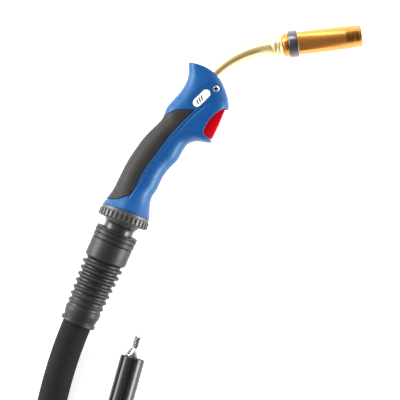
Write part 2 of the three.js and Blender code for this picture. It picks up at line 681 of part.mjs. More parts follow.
// The cable from its ferrule inside the kink sleeve to the coil, and from the coil to the far end.
const LEAD_ROUTE = [
  [-124.2, -79.4, 22.6], [-140.2, -106.4, 20.5], [-156.5, -133.9, 18.3], [-163.9, -147.2, 17.3],
  [-172.6, -164.2, 16.1], [-182.4, -185.9, 15.4], [-191.5, -209, 15.2], [-200.5, -233, 15.2],
  [-211, -267, 15.2], [-219.5, -305, 15.2], [-223, -345, 15.2], [-222, -385, 15.2], [-217, -426, 15.2],
  [-210, -465, 15.2], [-206.5, -493, 15.2], [-207, -518, 15.2],
];
const TAIL_ROUTE = [
  [-94, -389, 44.5], [-117, -367, 39], [-134, -340, 28], [-143, -310, 18.5], [-143.8, -285, 16],
  [-139.4, -262.5, 15.7], [-133.7, -248.6, 15.4],
];

function coilForm(grow) {
  const [inner, outer, top] = [COIL_INNER - grow, COIL_OUTER + grow, COIL_HEIGHT + grow];
  const profile = [
    [-grow, inner], [-grow, outer], [30 + grow, outer], [top, outer - 7], [top, inner - 5], [30, inner - 5],
    [28, inner], [-grow, inner],
  ];
  return turned(profile, 40).rotateY(-Math.PI / 2).translate(...COIL_CENTRE, 0);
}

function buildCable() {
  const clear = coilForm(GAP);
  piece(torch, "cable_lead", cut(cable(LEAD_ROUTE, CABLE_RADIUS, 18), clear), LOOKS.rubber);
  piece(torch, "cable_tail", cut(cable(TAIL_ROUTE, CABLE_RADIUS, 12), clear), LOOKS.rubber);

  const ties = [215, 320].map((degrees) => {
    const around = (geometry) => geometry.rotateZ(radians(degrees)).translate(...COIL_CENTRE, 0);
    const band = block([108, 184], [-10, 10], [0, 63]);
    const window = block([110.3, 181.7], [-20, 20], [2.4, 60.6]);
    const notch = block([100, 190], [-10.4, 10.4], [-1, 2.7]);
    return { band: around(geometryOf(cut(band, window))), notch: around(notch) };
  });
  piece(torch, "cable_coil", cut(coilForm(0), ...ties.map((tie) => tie.notch)), LOOKS.rubber);
  ties.forEach((tie, i) => piece(torch, `coil_tie_${i + 1}`, tie.band, LOOKS.mattBlack));
}

function buildFarEnd() {
  const cap = turnedRing([
    [-END_SLEEVE_LENGTH - 1, 15], [-END_SLEEVE_LENGTH + 5, 14.8], [-END_SLEEVE_LENGTH + 9, 13.4],
  ], END_SLEEVE_RADIUS + GAP);
  piece(far, "cover_end_cap", cap, LOOKS.mattBlack);
  const sleeve = turnedRing([
    [-END_SLEEVE_LENGTH, 12.4], [-END_SLEEVE_LENGTH + 1, END_SLEEVE_RADIUS], [-1, END_SLEEVE_RADIUS],
    [0, 12.1],
  ], 8.4, 20);
  piece(far, "end_sleeve", sleeve, LOOKS.glossBlack);
  const cone = turnedRing([[-30, 8], [0.3, 8], [0.4, 9], [1.6, 9], [9.1, 5.3]], 3.4);
  const body = common(cone, join(rod(-1, 12, 9.6, 6), rod(-31, 0.5, 9.6)));
  piece(far, "end_fitting", body, LOOKS.nickel);
  const thread = [[9.4, 3.6]];
  for (let x = 10.6; x < 21; x += 1.5) thread.push([x, 4.3], [x + 0.75, 3.7]);
  thread.push([21.6, 4.2], [22.9, 3.4]);
  piece(far, "end_stud", turnedRing(thread, 2.2, 12), LOOKS.nickel);
}

buildShells();
buildTrim();
buildTrigger();
buildNeck();
buildNozzle();
buildRing();
buildHosePackage();
buildCore();
buildCable();
buildFarEnd();

export default torch;
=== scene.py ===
# The looks of a MIG welding torch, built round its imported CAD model.
# A form is drawn in millimetres in the frame of the sub-assembly that it belongs to, and that
# frame's matrix turns it into metres in the row frame.

import json
import math

import bmesh
import bpy
import numpy as np
from mathutils import Matrix, Vector


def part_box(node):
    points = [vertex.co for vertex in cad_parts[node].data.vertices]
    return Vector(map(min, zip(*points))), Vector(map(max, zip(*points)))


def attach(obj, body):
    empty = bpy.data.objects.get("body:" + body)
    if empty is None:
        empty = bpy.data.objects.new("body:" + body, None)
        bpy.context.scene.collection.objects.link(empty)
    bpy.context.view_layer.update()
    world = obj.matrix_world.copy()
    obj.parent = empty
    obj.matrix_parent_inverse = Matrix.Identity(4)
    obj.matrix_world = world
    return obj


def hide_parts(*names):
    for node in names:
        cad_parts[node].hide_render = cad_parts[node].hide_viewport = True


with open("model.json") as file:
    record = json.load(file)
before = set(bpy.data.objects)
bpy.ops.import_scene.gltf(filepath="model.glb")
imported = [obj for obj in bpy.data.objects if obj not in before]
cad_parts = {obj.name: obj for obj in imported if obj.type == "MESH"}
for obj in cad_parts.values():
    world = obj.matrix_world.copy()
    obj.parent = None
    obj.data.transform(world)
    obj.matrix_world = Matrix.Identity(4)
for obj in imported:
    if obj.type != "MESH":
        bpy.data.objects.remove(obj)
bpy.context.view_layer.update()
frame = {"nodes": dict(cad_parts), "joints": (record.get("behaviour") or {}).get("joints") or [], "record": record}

MM = 0.001
JOINTS = {joint["name"]: joint for joint in frame["joints"]}
MOUNTS = {mount["name"]: mount for mount in frame["record"]["mounts"]}

# -------------------- frames of the sub-assemblies

BALL_X = 4  # the ball's centre is this far ahead of the locking ring's middle
NOZZLE_END = 95  # the nozzle's mouth, from the end of the neck's bend
END_SLEEVE_LENGTH = 78


def placed(origin, x_axis, z_axis=(0, 0, 1)):
    """The matrix from millimetres in a frame with these axes to metres in the row frame."""
    x = Vector(x_axis).normalized()
    z = (Vector(z_axis) - Vector(z_axis).dot(x) * x).normalized()
    turn = Matrix((x, z.cross(x), z)).transposed().to_4x4()
    return Matrix.Translation(origin) @ turn @ Matrix.Scale(MM, 4)


def middle(node):
    low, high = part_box(node)
    return (low + high) / 2


ball_centre = Vector(JOINTS["swivel_yaw"]["pos_m"])
ring_axis = Vector(JOINTS["locking_ring_turn"]["axis"]).normalized()
handle_up = Vector(JOINTS["swivel_yaw"]["axis"])
HANDLE = placed(ball_centre - BALL_X * MM * ring_axis, ring_axis, handle_up)

nozzle_middle = middle("gas_nozzle")
nozzle_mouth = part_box("gas_nozzle")[1].x
NECK = placed((nozzle_mouth - NOZZLE_END * MM, nozzle_middle.y, nozzle_middle.z), (1, 0, 0), handle_up)

HOSE = placed(ball_centre, ball_centre - middle("hose_core_rear"))

end_axis = Vector(MOUNTS["end_stud_face"]["axis"]).normalized()
FAR = placed(middle("end_sleeve") + end_axis * (END_SLEEVE_LENGTH / 2 * MM), end_axis)

# -------------------- camera

VIEW_CENTRE = Vector((-0.015, -0.022, 0.027))
VIEW_WIDTH = 0.412  # metres across the picture, at the height of VIEW_CENTRE
VIEW_DISTANCE = 3.0
VIEW_TURN = -6.9  # degrees, the nozzle rising to the right
SENSOR = 36


def make_camera():
    lens = bpy.data.cameras.new("camera")
    lens.sensor_width = SENSOR
    lens.lens = SENSOR * VIEW_DISTANCE / VIEW_WIDTH
    lens.clip_start = 0.05
    camera = bpy.data.objects.new("camera", lens)
    camera.location = VIEW_CENTRE + Vector((0, 0, VIEW_DISTANCE))
    camera.rotation_euler = (0, 0, math.radians(VIEW_TURN))
    bpy.context.scene.collection.objects.link(camera)
    bpy.context.scene.camera = camera


make_camera()

# -------------------- curves


def through(points, per_span):
    """Points on a centripetal Catmull-Rom curve, per_span to each stretch between two given ones."""
    p = np.array(points, float)
    p = np.vstack([2 * p[0] - p[1], p, 2 * p[-1] - p[-2]])
    made = []
    for i in range(1, len(p) - 2):
        a, b, c, d = p[i - 1 : i + 3]
        ab, bc, cd = (np.linalg.norm(v) ** 0.5 for v in (b - a, c - b, d - c))
        leaving = ((b - a) / ab - (c - a) / (ab + bc) + (c - b) / bc) * bc
        arriving = ((c - b) / bc - (d - b) / (bc + cd) + (d - c) / cd) * bc
        for t in np.arange(per_span) / per_span:
            square = 3 * (c - b) - 2 * leaving - arriving
            cube = 2 * (b - c) + leaving + arriving
            made.append(b + leaving * t + square * t**2 + cube * t**3)
    made.append(p[-2])
    return np.array(made)


def evenly(points, spacing):
    """The same line with its points a spacing apart."""
    steps = np.linalg.norm(np.diff(points, axis=0), axis=1)
    along = np.concatenate([[0], np.cumsum(steps)])
    wanted = np.linspace(0, along[-1], max(2, round(along[-1] / spacing) + 1))
    return np.stack([np.interp(wanted, along, points[:, k]) for k in range(3)], axis=1)


def round_angles(sides):
    return np.arange(sides) * 2 * math.pi / sides


def smoothstep(low, high, value):
    t = np.clip((np.asarray(value, float) - low) / (high - low), 0, 1)
    return t * t * (3 - 2 * t)


def filleted(profile, radius, steps=4):
    """A profile of [x, radius] points with each of its inner corners rounded."""
    made = [tuple(profile[0])]
    for before, corner, after in zip(profile, profile[1:], profile[2:]):
        before, corner, after = (np.array(p, float) for p in (before, corner, after))
        back, ahead = before - corner, after - corner
        room = 0.48 * min(np.linalg.norm(back), np.linalg.norm(ahead))
        back, ahead = back / np.linalg.norm(back), ahead / np.linalg.norm(ahead)
        half_angle = math.acos(max(-1, min(1, float(back @ ahead)))) / 2
        reach = min(room, radius / max(math.tan(half_angle), 1e-6))
        for i in range(steps + 1):
            t = i / steps
            start, end = corner + back * reach, corner + ahead * reach
            made.append(tuple(start * (1 - t) ** 2 + corner * 2 * t * (1 - t) + end * t * t))
    made.append(tuple(profile[-1]))
    return made


# -------------------- meshes


def object_of(name, vertices, faces):
    mesh = bpy.data.meshes.new(name)
    mesh.from_pydata([tuple(v) for v in vertices], [], faces)
    edit = bmesh.new()
    edit.from_mesh(mesh)
    bmesh.ops.recalc_face_normals(edit, faces=edit.faces)
    edit.to_mesh(mesh)
    edit.free()
    made = bpy.data.objects.new(name, mesh)
    bpy.context.scene.collection.objects.link(made)
    return made


def remove(*objects):
    for o in objects:
        bpy.data.objects.remove(o)


def copy_of(form):
    made = form.copy()
    made.data = form.data.copy()
    bpy.context.scene.collection.objects.link(made)
    return made


def bake(form):
    """Applies the form's modifiers to its mesh."""
    graph = bpy.context.evaluated_depsgraph_get()
    form.data = bpy.data.meshes.new_from_object(form.evaluated_get(graph))
    form.modifiers.clear()
    return form


def combine(form, operation, *others):
    for other in others:
        step = form.modifiers.new("combine", "BOOLEAN")
        step.operation = operation
        step.solver = "MANIFOLD"
        step.object = other
    bake(form)
    remove(*others)
    return form


def soften(form, voxel, passes):
    """Rounds a form's edges: an even fine skin, then smoothing passes."""
    skin = form.modifiers.new("skin", "REMESH")
    skin.mode = "VOXEL"
    skin.voxel_size = voxel
    even = form.modifiers.new("even", "SMOOTH")
    even.factor = 0.5
    even.iterations = passes
    return bake(form)


def thin_out(form, share):
    fewer = form.modifiers.new("fewer", "DECIMATE")
    fewer.ratio = share
    return bake(form)


SHARP_ANGLE = math.radians(42)


def settle(form, name, place, body, look, *nodes):
    """Puts a finished form in the row frame as a piece that stands for these CAD nodes, or its namesake."""
    form.data.transform(place)
    form.name = form.data.name = f"{name}_visual" if name in frame["nodes"] else name
    form.data.shade_smooth()
    form.data.set_sharp_from_angle(angle=SHARP_ANGLE)
    form.data.materials.clear()
    form.data.materials.append(LOOKS[look])
    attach(form, body)
    if name in frame["nodes"]:
        nodes = nodes or (name,)
    if nodes:
        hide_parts(*nodes)
    return form


def store(form, name, domain, values):
    """Keeps a number for each point or face, which a material reads by its name."""
    form.data.attributes.new(name, "FLOAT", domain).data.foreach_set("value", values)


def grid_faces(rows, columns, wrap_rows=False):
    """Quads over a grid of vertices numbered row by row, its rows closed on themselves."""
    made = []
    for i in range(rows if wrap_rows else rows - 1):
        for j in range(columns):
            below, right = (i + 1) % rows, (j + 1) % columns
            made.append((i * columns + j, i * columns + right, below * columns + right, below * columns + j))
    return made


def loft(rings):
    """A closed skin through rings of equally many points."""
    rows, columns = len(rings), len(rings[0])
    faces = grid_faces(rows, columns)
    faces.append(tuple(range(columns)))
    faces.append(tuple(range((rows - 1) * columns, rows * columns)))
    return object_of("form", [p for ring in rings for p in ring], faces)


def slab(outline, low, high):
    return loft([[(x, y, z) for x, y in outline] for z in (low, high)])


def block(xs, ys, zs):
    corners = [(xs[0], ys[0]), (xs[1], ys[0]), (xs[1], ys[1]), (xs[0], ys[1])]
    return slab(corners, *zs)


def circle_points(centre, radius, sides, start=0.0, sweep=360.0):
    closed = sweep >= 360
    count = sides if closed else sides + 1
    angles = [math.radians(start + sweep * i / sides) for i in range(count)]
    return [(centre[0] + radius * math.cos(a), centre[1] + radius * math.sin(a)) for a in angles]


def upright(place, low, high, radius, sides=48):
    return slab(circle_points(place, radius, sides), low, high)


def turned(profile, sides=96, closed=False):
    """A form turned about X from [x, radius] points: a closed ring, or ending on the axis."""
    angles = round_angles(sides)
    rings = [p for p in profile if closed or p[1] > 1e-9]
    vertices = [(x, r * math.cos(a), r * math.sin(a)) for x, r in rings for a in angles]
    faces = grid_faces(len(rings), sides, wrap_rows=closed)
    if closed:
        return object_of("form", vertices, faces)
    for x, row in ((profile[0][0], 0), (profile[-1][0], len(rings) - 1)):
        vertices.append((x, 0, 0))
        tip = len(vertices) - 1
        faces += [(tip, row * sides + j, row * sides + (j + 1) % sides) for j in range(sides)]
    return object_of("form", vertices, faces)


def turned_ring(profile, bore, radius=0.4, sides=96):
    """A turned form with a straight bore, its outer corners rounded."""
    first, last = profile[0], profile[-1]
    outline = [(last[0], bore + 0.01), *reversed(profile), (first[0], bore + 0.01)]
    outline = filleted(outline, radius)
    return turned([*outline, (first[0], bore), (last[0], bore)], sides, closed=True)


def rod(x0, x1, radius, sides=48):
    return turned([(x0, 0), (x0, radius), (x1, radius), (x1, 0)], sides)


def carried_frames(path):
    """Two unit vectors across the path at each of its points, turning as little as they can."""
    ahead = np.gradient(path, axis=0)
    ahead /= np.linalg.norm(ahead, axis=1)[:, None]
    across = np.cross(ahead[0], (0, 0, 1.0))
    frames = []
    for t in ahead:
        across = across - (across @ t) * t
        across /= np.linalg.norm(across)
        frames.append((across.copy(), np.cross(t, across)))
    return frames


def sweep(path, radius_at, sides, bore=None):
    """A round bar along a path, or a pipe if it has a bore."""
    frames = carried_frames(path)
    angles = round_angles(sides)
    share = np.linspace(0, 1, len(path))

    def ring(i, radius):
        side, up = frames[i]
        return [path[i] + radius * (math.cos(a) * side + math.sin(a) * up) for a in angles]

    rings = [ring(i, radius_at(share[i])) for i in range(len(path))]
    if bore is None:
        return loft(rings)
    rings += [ring(i, bore) for i in reversed(range(len(path)))]
    faces = grid_faces(len(rings), sides, wrap_rows=True)
    return object_of("form", [p for r in rings for p in r], faces)


# -------------------- materials

LOOKS = {}


class Shading:
    """A node tree being made. Each call adds a node and gives its output."""

    def __init__(self, owner):
        owner.use_nodes = True
        self.tree = owner.node_tree

    def feed(self, socket, value):
        if isinstance(value, bpy.types.NodeSocket):
            self.tree.links.new(value, socket)
        else:
            socket.default_value = value

    def node(self, kind, *inputs, output=0, **settings):
        made = self.tree.nodes.new(kind)
        for key, value in settings.items():
            setattr(made, key, value)
        for socket, value in zip(made.inputs, inputs):
            if value is not None:
                self.feed(socket, value)
        return made.outputs[output]

    def math(self, operation, a, b=0.0):
        return self.node("ShaderNodeMath", a, b, operation=operation)

    def parts(self, vector):
        made = self.tree.nodes.new("ShaderNodeSeparateXYZ")
        self.feed(made.inputs[0], vector)
        return made.outputs

    def between(self, value, low, high, ends=(0, 1)):
        """Maps a value smoothly from low..high to the two ends."""
        made = self.tree.nodes.new("ShaderNodeMapRange")
        made.interpolation_type = "SMOOTHSTEP"
        sockets = ("Value", "From Min", "From Max", "To Min", "To Max")
        for socket, number in zip(sockets, (value, low, high, *ends)):
            self.feed(made.inputs[socket], number)
        return made.outputs["Result"]


class Look(Shading):
    """A material being made. Keywords such as coat_weight set the sockets of its shader."""

    def __init__(self, name, colour, roughness, metallic=0.0, **sockets):
        self.material = bpy.data.materials.new(name)
        super().__init__(self.material)
        self.surface = self.tree.nodes["Principled BSDF"]
        self.set("Base Color", (*colour, 1))
        self.set("Roughness", roughness)
        self.set("Metallic", metallic)
        for socket, value in sockets.items():
            self.set(socket.replace("_", " ").title().replace("Ior", "IOR"), value)
        LOOKS[name] = self.material

    def set(self, socket, value):
        self.feed(self.surface.inputs[socket], value)

    def place(self):
        return self.node("ShaderNodeTexCoord", output=3)  # object coordinates, the row frame's metres

    def noise(self, scale, detail=3.0, stretch=(1, 1, 1)):
        """Noise of this many cells a metre, from 0 to 1."""
        place = self.node("ShaderNodeMapping", self.place(), (0, 0, 0), (0, 0, 0), stretch)
        made = self.tree.nodes.new("ShaderNodeTexNoise")
        self.feed(made.inputs["Vector"], place)
        made.inputs["Scale"].default_value = scale
        made.inputs["Detail"].default_value = detail
        return made.outputs["Fac"]

    def scaled(self, value, low, high):
        """Maps 0..1 to low..high."""
        return self.math("ADD", self.math("MULTIPLY", value, high - low), low)

    def mix(self, share, first, second):
        made = self.tree.nodes.new("ShaderNodeMix")
        made.data_type = "RGBA"
        for socket, value in zip((made.inputs[0], made.inputs[6], made.inputs[7]), (share, first, second)):
            self.feed(socket, value if isinstance(value, (bpy.types.NodeSocket, float)) else (*value, 1))
        return made.outputs[2]

    def attribute(self, name, output="Fac"):
        made = self.tree.nodes.new("ShaderNodeAttribute")
        made.attribute_name = name
        return made.outputs[output]

    def bump(self, height, depth, below=None):
        """Bump of a 0..1 height, depth metres from low to high."""
        made = self.tree.nodes.new("ShaderNodeBump")
        made.inputs["Distance"].default_value = depth
        self.feed(made.inputs["Height"], height)
        if below is not None:
            self.feed(made.inputs["Normal"], below)
        return made.outputs["Normal"]


def shade(colour, factor):
    return tuple(min(1.0, c * factor) for c in colour)


def moulded(name, colour, roughness, grain=1500, depth=0.00004, mottle=0.12, rough_swing=0.08,
            clouds=(60, 4), patches=(220, 5), **sockets):
    """A moulded surface: a fine grain, a slight mottle of tone and uneven gloss."""
    look = Look(name, colour, roughness, **sockets)
    cloud = look.between(look.noise(*clouds), 0.3, 0.7)
    look.set("Base Color", look.mix(cloud, shade(colour, 1 - mottle), shade(colour, 1 + mottle)))
    patchy = look.noise(*patches)
    look.set("Roughness", look.scaled(patchy, roughness - rough_swing, roughness + rough_swing))
    look.set("Normal", look.bump(look.noise(grain, 2), depth))


def machined(name, colour, roughness, stretch, lines=900, depth=0.000012, dark=0.75, **sockets):
    """A turned or drawn metal: fine lines, longest where stretch is least, and a little tarnish."""
    look = Look(name, colour, roughness, metallic=1.0, **sockets)
    line = look.noise(lines, 3, stretch)
    tarnish = look.between(look.noise(90, 5), 0.42, 0.75)
    look.set("Base Color", look.mix(tarnish, shade(colour, 1.05), shade(colour, dark)))
    look.set("Roughness", look.scaled(line, roughness - 0.06, roughness + 0.1))
    look.set("Normal", look.bump(line, depth))
    return look


SHELL_BLUE = (0.002, 0.055, 0.212)
SHELL_PAINTED_SHADE = (0.002, 0.028, 0.13)  # painted shade down in the groove, and a painted shadow line at the rear edge beside the locking ring
BRAID_PITCH = 3.4  # millimetres
BRAID_STRANDS = 28


def make_shell_look():
    look = Look("shell_blue", SHELL_BLUE, 0.36, specular_ior_level=0.4, specular_tint=(0.6, 1.0, 0.9, 1))
    cloud = look.between(look.noise(45, 3), 0.3, 0.7)
    tone = look.mix(cloud, shade(SHELL_BLUE, 0.94), shade(SHELL_BLUE, 1.06))
    banded = look.mix(look.attribute("band"), tone, shade(SHELL_BLUE, 0.88))
    # painted shade: the shell goes darker down in the groove and along the shadow line at its rear edge
    look.set("Base Color", look.mix(look.attribute("groove"), banded, SHELL_PAINTED_SHADE))
    look.set("Roughness", look.scaled(look.noise(260, 5), 0.30, 0.42))
    grain = look.bump(look.noise(2200, 2), 0.000025)
    scuffs = look.between(look.noise(420, 6, (1, 6, 1)), 0.66, 0.8)
    look.set("Normal", look.bump(scuffs, -0.00002, grain))


def make_cable_look():
    """A fine braid round the cable. The attribute lie holds a point's way along and its place round."""
    colour = (0.0075, 0.0074, 0.0062)
    look = Look("cable_cover", colour, 0.72, specular_ior_level=0.15)
    way, across, up = look.parts(look.attribute("lie", "Vector"))
    along = look.math("MULTIPLY", way, 2 * math.pi / BRAID_PITCH)
    turn = look.math("MULTIPLY", look.math("ARCTAN2", up, across), BRAID_STRANDS)
    one = look.math("SINE", look.math("ADD", along, turn))
    other = look.math("SINE", look.math("SUBTRACT", along, turn))
    weave = look.between(look.math("MULTIPLY", one, other), -0.7, 0.7)
    fibre = look.noise(900, 4)
    worn = look.between(look.noise(30, 3), 0.35, 0.75)
    tone = look.mix(weave, shade(colour, 0.7), shade(colour, 1.35))
    look.set("Base Color", look.mix(look.math("MULTIPLY", worn, 0.4), tone, shade(colour, 1.7)))
    look.set("Roughness", look.scaled(fibre, 0.6, 0.85))
    look.set("Normal", look.bump(weave, 0.00018, look.bump(fibre, 0.00005)))


def make_strap_look():
    colour = (0.018, 0.018, 0.019)
    look = Look("tie_black", colour, 0.9, sheen_weight=0.35)
    loops = look.noise(1400, 2)
    look.set("Base Color", look.mix(loops, shade(colour, 0.6), shade(colour, 1.8)))
    look.set("Normal", look.bump(loops, 0.0003))


def make_nozzle_look():
    """Turned copper with fine lines round it and brown, speckled stains."""
    copper = (0.84, 0.31, 0.05)
    brown = (0.2, 0.06, 0.014)
    look = Look("copper", copper, 0.28, metallic=1.0, coat_weight=0.3, coat_roughness=0.22, coat_ior=1.9)
    lines = look.noise(700, 3, (1, 0.03, 0.03))
    speckle = look.between(look.noise(520, 6), 0.5, 0.72)
    stain = look.between(look.noise(38, 4, (0.5, 1.6, 1)), 0.42, 0.66)
    stained = look.math("MULTIPLY", look.math("MULTIPLY", speckle, stain), 0.8)
    look.set("Base Color", look.mix(stained, copper, brown))
    look.set("Roughness", look.scaled(lines, 0.14, 0.34))
    look.set("Normal", look.bump(lines, 0.00002))


def make_nickel_look():
    """Plated metal, with painted shade down in a thread's grooves."""
    nickel = (0.6, 0.6, 0.605)
    look = machined("nickel", nickel, 0.2, (1, 1, 0.2))
    # painted shade: near black where the attribute marks the thread's grooves
    look.set("Base Color", look.mix(look.attribute("recess"), nickel, (0.1, 0.1, 0.105)))


def make_screw_look():
    """Bright steel, with painted shade inside the screw's cross recess."""
    steel = (0.95, 0.95, 0.96)
    look = machined("screw_steel", steel, 0.5, (1, 1, 0.2), dark=0.95)
    # painted shade: near black on the faces inside the cross recess
    look.set("Base Color", look.mix(look.attribute("recess"), steel, (0.012, 0.012, 0.013)))


def make_looks():
    make_shell_look()
    make_cable_look()
    make_strap_look()
    make_nozzle_look()
    brass = machined("brass", (1.0, 0.7, 0.27), 0.22, (1, 1, 1), lines=60, dark=0.97, depth=0.000004,
                     coat_weight=1.0, coat_roughness=0.16, coat_ior=2.3)
    brass.set("Metallic", 0.85)
    make_nickel_look()
    make_screw_look()
    machined("spring_steel", (0.6, 0.6, 0.61), 0.3, (1, 1, 1))
    moulded("pad_grey", (0.0105, 0.009, 0.0076), 0.49, grain=1700, depth=0.00012, mottle=0.1,
            rough_swing=0.07, clouds=(55, 3), patches=(500, 4), sheen_weight=0.02, sheen_roughness=0.5,
            specular_ior_level=0.27)
    moulded("trigger_red", (0.64, 0.0005, 0.008), 0.3, depth=0.00001, mottle=0.06, specular_ior_level=0.12)
    moulded("badge_white", (0.86, 0.86, 0.85), 0.28, depth=0.00001, mottle=0.02)
    moulded("insulator_black", (0.005, 0.0053, 0.0062), 0.34, depth=0.00001,
            coat_weight=1.0, coat_roughness=0.13, coat_ior=1.8)
    moulded("diffuser_ceramic", (0.80, 0.77, 0.70), 0.6)
    moulded("switch_black", (0.03, 0.03, 0.032), 0.5)
    moulded("plunger_red", (0.45, 0.06, 0.04), 0.35)
    moulded("lead_red", (0.30, 0.03, 0.03), 0.5)
    moulded("lead_green", (0.04, 0.20, 0.07), 0.5)
    moulded("ring_black", (0.038, 0.0355, 0.033), 0.45, grain=1100, depth=0.00005, specular_ior_level=0.75)
    moulded("cup_white", (0.75, 0.73, 0.66), 0.55)
    moulded("ball_black", (0.016, 0.0162, 0.017), 0.27, depth=0.000015, specular_ior_level=0.55)
    moulded("sleeve_rubber", (0.0105, 0.0102, 0.0088), 0.42, grain=1300, depth=0.00008,
            specular_ior_level=0.38)
    moulded("hose_black", (0.035, 0.035, 0.036), 0.6)
    moulded("end_gloss", (0.004, 0.0039, 0.0035), 0.24, depth=0.00001, rough_swing=0.04)


make_looks()

# -------------------- the cable, its coil and its ties
# The cable's route is in the row frame, in metres.

CABLE_RADIUS = 0.0151
LEAD_ROUTE = [
    (-0.1242, -0.0794, 0.0226), (-0.1402, -0.1064, 0.0205), (-0.1565, -0.1339, 0.0183),
    (-0.1639, -0.1472, 0.0173), (-0.1726, -0.1642, 0.0161), (-0.1824, -0.1859, 0.0154),
    (-0.1915, -0.209, 0.0152), (-0.2005, -0.233, 0.0152), (-0.211, -0.267, 0.0152),
    (-0.2195, -0.305, 0.0152), (-0.223, -0.345, 0.0152), (-0.222, -0.385, 0.0152),
    (-0.217, -0.426, 0.0152), (-0.21, -0.465, 0.0152), (-0.2065, -0.493, 0.0152),
]
RETURN_ROUTE = [
    (0.107, -0.528, 0.0415), (0.097, -0.489, 0.0415), (0.075, -0.454, 0.043), (0.041, -0.429, 0.045),
    (0.001, -0.417, 0.045), (-0.037, -0.412, 0.045), (-0.067, -0.404, 0.045),
]
TAIL_ROUTE = [
    (-0.094, -0.389, 0.0445), (-0.117, -0.367, 0.039), (-0.134, -0.34, 0.028), (-0.143, -0.31, 0.0185),
    (-0.1438, -0.285, 0.016), (-0.1394, -0.2625, 0.0157), (-0.1337, -0.2486, 0.0154),
]
COIL_START = 173  # degrees round the coil's centre where the wound turns start
COIL_POINTS = range(8, 902, 14)  # degrees on from there
GOING_IN, GOING_UP, SETTLING = (300, 360), (600, 690), (690, 750)  # from turn to turn, in the same degrees
OUTER_TURN, INNER_TURN, TOP_TURN = 0.165, 0.135, 0.150  # radii at the cable's middle
FLOOR_Z, OVER_Z, TOP_Z = 0.0152, 0.044, 0.0415
TIE_ANGLES = (215, 320)
TIE_LIFT, TIE_REACH = 0.0021, 0.03  # the cable rises over the part of a tie that runs below it


def coil_point(turned_by):
    """A point of the wound turns: an outer and an inner turn on the floor, and one lying on both."""
    inward, upward, settled = (smoothstep(*span, turned_by) for span in (GOING_IN, GOING_UP, SETTLING))
    radius = OUTER_TURN + (INNER_TURN - OUTER_TURN) * inward + (TOP_TURN - INNER_TURN) * upward
    height = FLOOR_Z + (OVER_Z - FLOOR_Z) * upward + (TOP_Z - OVER_Z) * settled
    angle = COIL_START + turned_by
    for tie in TIE_ANGLES:
        away = math.radians((angle - tie + 180) % 360 - 180) * radius
        height += TIE_LIFT * math.exp(-((away / TIE_REACH) ** 2))
    centre = middle("cable_coil")
    return (
        centre.x + radius * math.cos(math.radians(angle)),
        centre.y + radius * math.sin(math.radians(angle)),
        height,
    )


def cable_line():
    wound = [coil_point(degrees) for degrees in COIL_POINTS]
    return evenly(through([*LEAD_ROUTE, *wound, *RETURN_ROUTE, *TAIL_ROUTE], 8), 0.006)


def make_cable():
    path = cable_line()
    sides = 32
    cable = sweep(path, lambda t: CABLE_RADIUS, sides)
    along = np.concatenate([[0], np.cumsum(np.linalg.norm(np.diff(path, axis=0), axis=1))]) / MM
    angles = round_angles(sides)
    lie = [(s, math.cos(a), math.sin(a)) for s in along for a in angles]
    stored = cable.data.attributes.new("lie", "FLOAT_VECTOR", "POINT")
    stored.data.foreach_set("vector", np.array(lie, np.float32).ravel())
    settle(cable, "cable", Matrix.Identity(4), "hose_package", "cable_cover",
           "cable_lead", "cable_coil", "cable_tail")
    return cable, path


cable, cable_path = make_cable()

STRAP_WIDTH = 20
STRAP_THICKNESS = 1.9
STRAP_GAP = 0.25  # to the cable


def hull(points):
    """The convex outline of flat points, counter-clockwise."""
    points = sorted(set(points))

    def chain(run):
        kept = []
        for p in run:
            while len(kept) > 1:
                (ax, ay), (bx, by) = kept[-2:]
                if (bx - ax) * (p[1] - ay) - (by - ay) * (p[0] - ax) > 0:
                    break
                kept.pop()
            kept.append(p)
        return kept[:-1]

    return chain(points) + chain(points[::-1])


def make_tie(name, degrees):
    """A strap round the turns: two cables on the floor with a third on them."""
    reach = CABLE_RADIUS / MM + STRAP_THICKNESS / 2 + STRAP_GAP
    low = (FLOOR_Z + TIE_LIFT) / MM
    top = (TOP_Z + TIE_LIFT) / MM
    rounds = [(OUTER_TURN / MM, low), (INNER_TURN / MM, low), (TOP_TURN / MM, top)]
    outline = hull([p for centre in rounds for p in circle_points(centre, reach, 40)])
    outline = [(r, max(z, STRAP_THICKNESS / 2)) for r, z in outline]
    line = evenly(np.array([(r, 0, z) for r, z in [*outline, outline[0]]]), 2.0)[:-1]
    ahead = np.roll(line, -1, axis=0) - np.roll(line, 1, axis=0)
    ahead /= np.linalg.norm(ahead, axis=1)[:, None]
    outward = np.stack([ahead[:, 2], np.zeros(len(line)), -ahead[:, 0]], axis=1)
    half, deep, edge = STRAP_WIDTH / 2, STRAP_THICKNESS / 2, 0.6
    section = [(-half, -deep + edge), (-half + edge, -deep), (half - edge, -deep), (half, -deep + edge),
               (half, deep - edge), (half - edge, deep), (-half + edge, deep), (-half, deep - edge)]
    rings = [[p + n * out + np.array((0, side, 0)) for side, out in section]
             for p, n in zip(line, outward)]
    faces = grid_faces(len(rings), len(section), wrap_rows=True)
    strap = object_of("form", [p for ring in rings for p in ring], faces)
    turn = Matrix.Rotation(math.radians(degrees), 4, "Z")
    place = Matrix.Translation((*middle("cable_coil").xy, 0)) @ turn
    return settle(strap, name, place @ Matrix.Scale(MM, 4), "hose_package", "tie_black")


ties = [make_tie(f"coil_tie_{i + 1}", degrees) for i, degrees in enumerate(TIE_ANGLES)]


